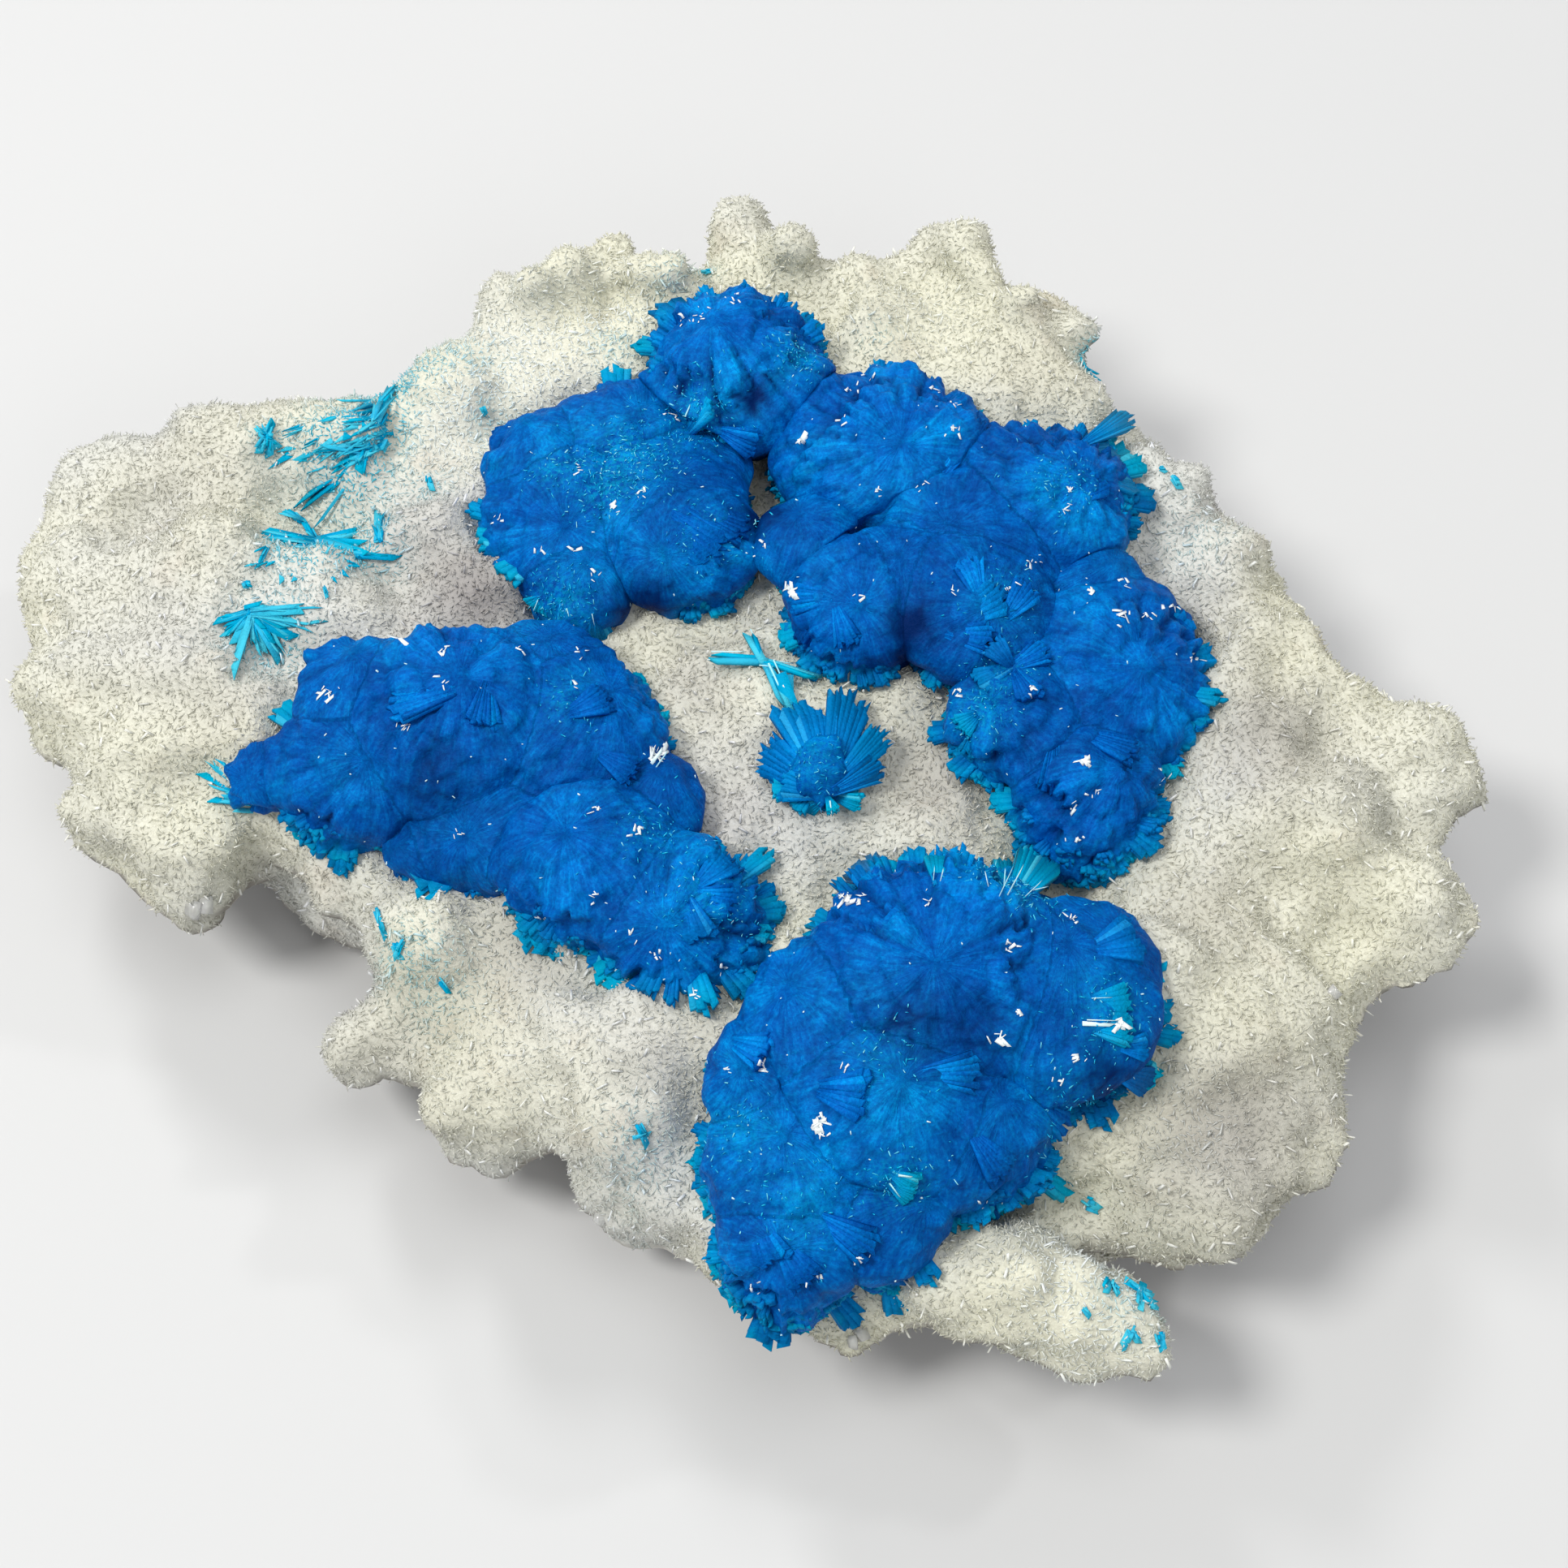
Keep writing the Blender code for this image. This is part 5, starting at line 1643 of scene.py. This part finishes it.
def lay_sprays(name, lines, ground_tree, kinds, finish, dice):
    """Each line is a low broad blade that the druse pokes through, with finer blades over it."""
    blades = []
    low = (SPRAY_LOW, SPRAY_LOW)
    for x, y, end_x, end_y, width in lines:
        start, stop = plan(x, y), plan(end_x, end_y)
        line = stop - start
        blades.append(blade_on_ground(start.copy(), stop, width, SPRAY_THICK, low, ground_tree, dice))
        for _ in range(max(3, round(width / SPRAY_FINENESS))):
            aside = Vector((dice.gauss(0, ROOT_SCATTER), dice.gauss(0, ROOT_SCATTER), 0))
            root = start + aside * width * MM
            turned = Matrix.Rotation(dice.gauss(0, SPRAY_SPREAD), 3, "Z") @ line
            end = root + turned * dice.uniform(*FINE_REACH)
            lifts = (SPRAY_LIFT, dice.uniform(*FINE_LIFT) * SPRAY_LIFT)
            fine = width * dice.uniform(*FINE_WIDTH)
            thin = SPRAY_THICK * dice.uniform(*FINE_THICK)
            blades.append(blade_on_ground(root, end, fine, thin, lifts, ground_tree, dice))
    piece = lay(name, blades, kinds, finish)
    keep_layers(piece.data, BLUE_LAYERS)
    return piece


def lay_needles(name, lines, ground_tree, kinds, finish, dice):
    """The open spray of long needles."""
    blades = []
    for x, y, end_x, end_y, width in lines:
        lifts = (NEEDLE_LIFT, NEEDLE_LIFT * dice.uniform(0.9, 1.6))
        blades.append(blade_on_ground(
            plan(x, y), plan(end_x, end_y), width, NEEDLE_THICK, lifts, ground_tree, dice
        ))
    piece = lay(name, blades, kinds, finish)
    keep_layers(piece.data, BLUE_LAYERS)
    return piece


def glint_lines(blue_tree, ground_tree, dice):
    """Painted glints: the thin bright lines that the photograph shows along blades."""
    lines = []
    for column, row, end_column, end_row, width in GLINTS:
        root, out = seen_on(blue_tree, column, row)
        if root is None:
            root, out = seen_on(ground_tree, column, row)
            root += (sight_line(column, row)[0] - root).normalized() * GLINT_OVER_NEEDLES
        end = beside_in_view(root, end_column, end_row)
        surface = seen_on(blue_tree, end_column, end_row)[0]
        if surface is not None and (surface - end).length < GLINT_NEAR:
            end = surface
        lines.append({
            "root": root + out * GLINT_LIFT, "end": end + out * GLINT_LIFT, "out": out,
            "width": width * MM, "thick": GLINT_THICK, "roll": 0.0,
            "tint": dice.uniform(*GLINT_TINTS), "kind": dice.randrange(3),
        })
    return lines


def lay_flecks(blue_tree, kinds, finish, dice):
    """Groups of white flecks that lie on the bursts, partly painted glints."""
    flecks = []
    groups = [(column, row, FLECK_SIZE) for column, row in FLECKS]
    groups += [(column, row, LARGE_FLECK_SIZE) for column, row in LARGE_FLECKS]
    for column, row, size in groups:
        more = MORE_IN_A_LARGE_GROUP if size > FLECK_SIZE else 0
        for _ in range(dice.randint(*FLECKS_IN_A_GROUP) + more):
            aside = (dice.gauss(0, FLECK_SCATTER[0]), dice.gauss(0, FLECK_SCATTER[1]))
            place, out = seen_on(blue_tree, column + aside[0], row + aside[1])
            if place is None:
                continue
            along = Vector([dice.uniform(-1, 1) for _ in range(3)]).cross(out).normalized()
            length = size * dice.uniform(0.35, 1.0) * MM
            root = place + out * FLECK_LIFT
            flecks.append({
                "root": root, "end": root + (along + out * dice.uniform(-0.05, 0.22)) * length,
                "width": length * dice.uniform(0.15, 0.5), "thick": dice.uniform(0.03, 0.05) * MM,
                "roll": dice.uniform(-0.5, 0.5), "kind": dice.randrange(3),
                "out": out, "tint": 1.0, "white": 1.0,
            })
    piece = lay("stilbite_flecks", flecks, kinds, finish)
    keep_layers(piece.data, DRUSE_LAYERS)
    return piece


def lay_rim_crystals(ground_tree, kinds, finish, dice):
    """The larger clear crystals that stand out of the rim."""
    crystals = []
    for column, row, end_column, end_row, width in RIM_CRYSTALS:
        root = seen_on(ground_tree, column, row)[0]
        if root is None:
            continue
        end = beside_in_view(root, end_column, end_row)
        crystals.append({
            "root": root, "end": end, "width": width * MM, "thick": width * 0.7 * MM,
            "roll": dice.uniform(-0.8, 0.8), "tint": 1.0, "kind": dice.randrange(3),
        })
    piece = lay("rim_crystals", crystals, kinds, finish)
    keep_layers(piece.data, DRUSE_LAYERS)
    return piece


# Stage.

def make_floor():
    shape = bmesh.new()
    bmesh.ops.create_grid(shape, x_segments=1, y_segments=1, size=FLOOR_HALF_SIZE)
    floor = object_from_bmesh("floor", shape)
    material, _, shader = new_material("pale_floor", (0.8, 0.8, 0.8))
    set_shader(shader, {"Base Color": FLOOR_GREY, "Roughness": 0.85})
    floor.data.materials.append(material)


def add_light(name, place, power, size, colour):
    """An area light that faces the specimen."""
    lamp = bpy.data.lights.new(name, "AREA")
    lamp.shape = "DISK"
    lamp.size = size
    lamp.energy = power
    lamp.color = colour
    obj = bpy.data.objects.new(name, lamp)
    bpy.context.scene.collection.objects.link(obj)
    obj.location = place
    obj.rotation_euler = (Vector(LOOK_AT) - Vector(place)).to_track_quat("-Z", "Y").to_euler()


def make_lights():
    for name, (place, power, size, colour) in LIGHTS.items():
        add_light(name, place, power, size, colour)
    world = bpy.data.worlds.new("studio")
    bpy.context.scene.world = world
    world.use_nodes = True
    background = world.node_tree.nodes["Background"]
    background.inputs["Color"].default_value = STUDIO_COLOUR
    background.inputs["Strength"].default_value = STUDIO_STRENGTH


def make_camera():
    camera = bpy.data.objects.new("camera", bpy.data.cameras.new("camera"))
    bpy.context.scene.collection.objects.link(camera)
    back = way_to_camera()
    camera.location = Vector(LOOK_AT) + back * CAMERA_DISTANCE
    camera.rotation_euler = (-back).to_track_quat("-Z", "Y").to_euler()
    camera.data.lens = CAMERA_LENS
    camera.data.sensor_width = CAMERA_SENSOR
    camera.data.clip_start = CAMERA_NEAR
    bpy.context.scene.camera = camera


# The specimen is made here, piece by piece.

dice = random.Random(SEED)
bpy.context.scene.view_settings.view_transform = "Standard"
make_camera()
make_lights()
make_floor()

CRYSTAL_GROWTH = crystal_growth_tree()
CRYSTAL_LAYING = crystal_laying_tree()
prisms = prism_finish()
dull = ground_finish()
blue = cavansite_finish()
glitter_blue = glitter_finish()

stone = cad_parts["stilbite_matrix"]
stone_tree = BVHTree.FromObject(stone, bpy.context.evaluated_depsgraph_get())
ground = make_ground(stone, stone_tree)
ground.data.materials.clear()
ground.data.materials.append(dull)
ground_tree = BVHTree.FromObject(ground, bpy.context.evaluated_depsgraph_get())
places = burst_places(stone_tree)

prepare_for_druse(ground, ground_tree, [burst for bursts in places.values() for burst in bursts])
thin_prism = prism_shape("thin_prism", 3, 0.35, 0.85)
blunt_prism = prism_shape("blunt_prism", 3, -0.3, 0.95)
short_lath = prism_shape("short_lath", 4, 0.2, 0.85, -0.2, 0.8)
flake_kinds = [prism_shape(f"flake_{sides}", sides, 0.25, 0.7, -0.3, 0.7) for sides in (4, 5, 6)]
sheaf_kinds = [sheaf_shape(f"sheaf_{label}", (5, 4), dice) for label in "abc"]
plate_kinds = [sheaf_shape(f"plate_{label}", (8, 7), dice, 0.3, 0.35) for label in "abc"]
needle_kinds = [
    prism_shape(f"needle_{label}", 4, slant, 0.9, 0.0, 1.0, strand)
    for label, slant, strand in (("a", 0.25, 0.7), ("b", -0.2, 0.88), ("c", 0.3, 1.0))
]
for piece in grow_druse(ground, (thin_prism, blunt_prism), (short_lath, short_lath), prisms):
    hand_over(piece, "stilbite")
keep_layers(ground.data, ("broken", "shade"))
hand_over(ground, "stilbite", "stilbite_matrix")

blue_pieces = []
glitters = []
for number, (name, bursts) in enumerate(places.items()):
    piece, glitter = grow_cluster(
        name, bursts, ground_tree, (sheaf_kinds, plate_kinds), short_lath, (blue, glitter_blue), dice,
        BURST_SEED + BURST_SEED_STEP * number,
    )
    hand_over(piece, "cavansite", name)
    blue_pieces.append(piece)
    glitters.append(glitter)
for name, lines in SPRAY_BLADES.items():
    laying = lay_needles if name == "cavansite_needles" else lay_sprays
    piece = laying(name + "_blades", lines, ground_tree, needle_kinds, blue, dice)
    hand_over(piece, "cavansite", name)
hand_over(lay_sprays("loose_slivers", SLIVERS, ground_tree, needle_kinds, blue, dice), "cavansite")

blue_faces = bmesh.new()
for piece in blue_pieces:
    blue_faces.from_mesh(piece.data)
blue_tree = BVHTree.FromBMesh(blue_faces)
blue_faces.free()
hand_over(lay_flecks(blue_tree, flake_kinds, prisms, dice), "stilbite")
glints = lay("glints", glint_lines(blue_tree, ground_tree, dice), flake_kinds, glitter_blue)
keep_layers(glints.data, ("tint", "tip"))
hand_over(join_meshes("cavansite_glitter", glitters + [glints]), "cavansite")
hand_over(lay_rim_crystals(ground_tree, flake_kinds, clear_crystal_finish(), dice), "stilbite")

for shape in [
    thin_prism, blunt_prism, short_lath, *flake_kinds, *sheaf_kinds, *plate_kinds, *needle_kinds,
]:
    bpy.data.objects.remove(shape)
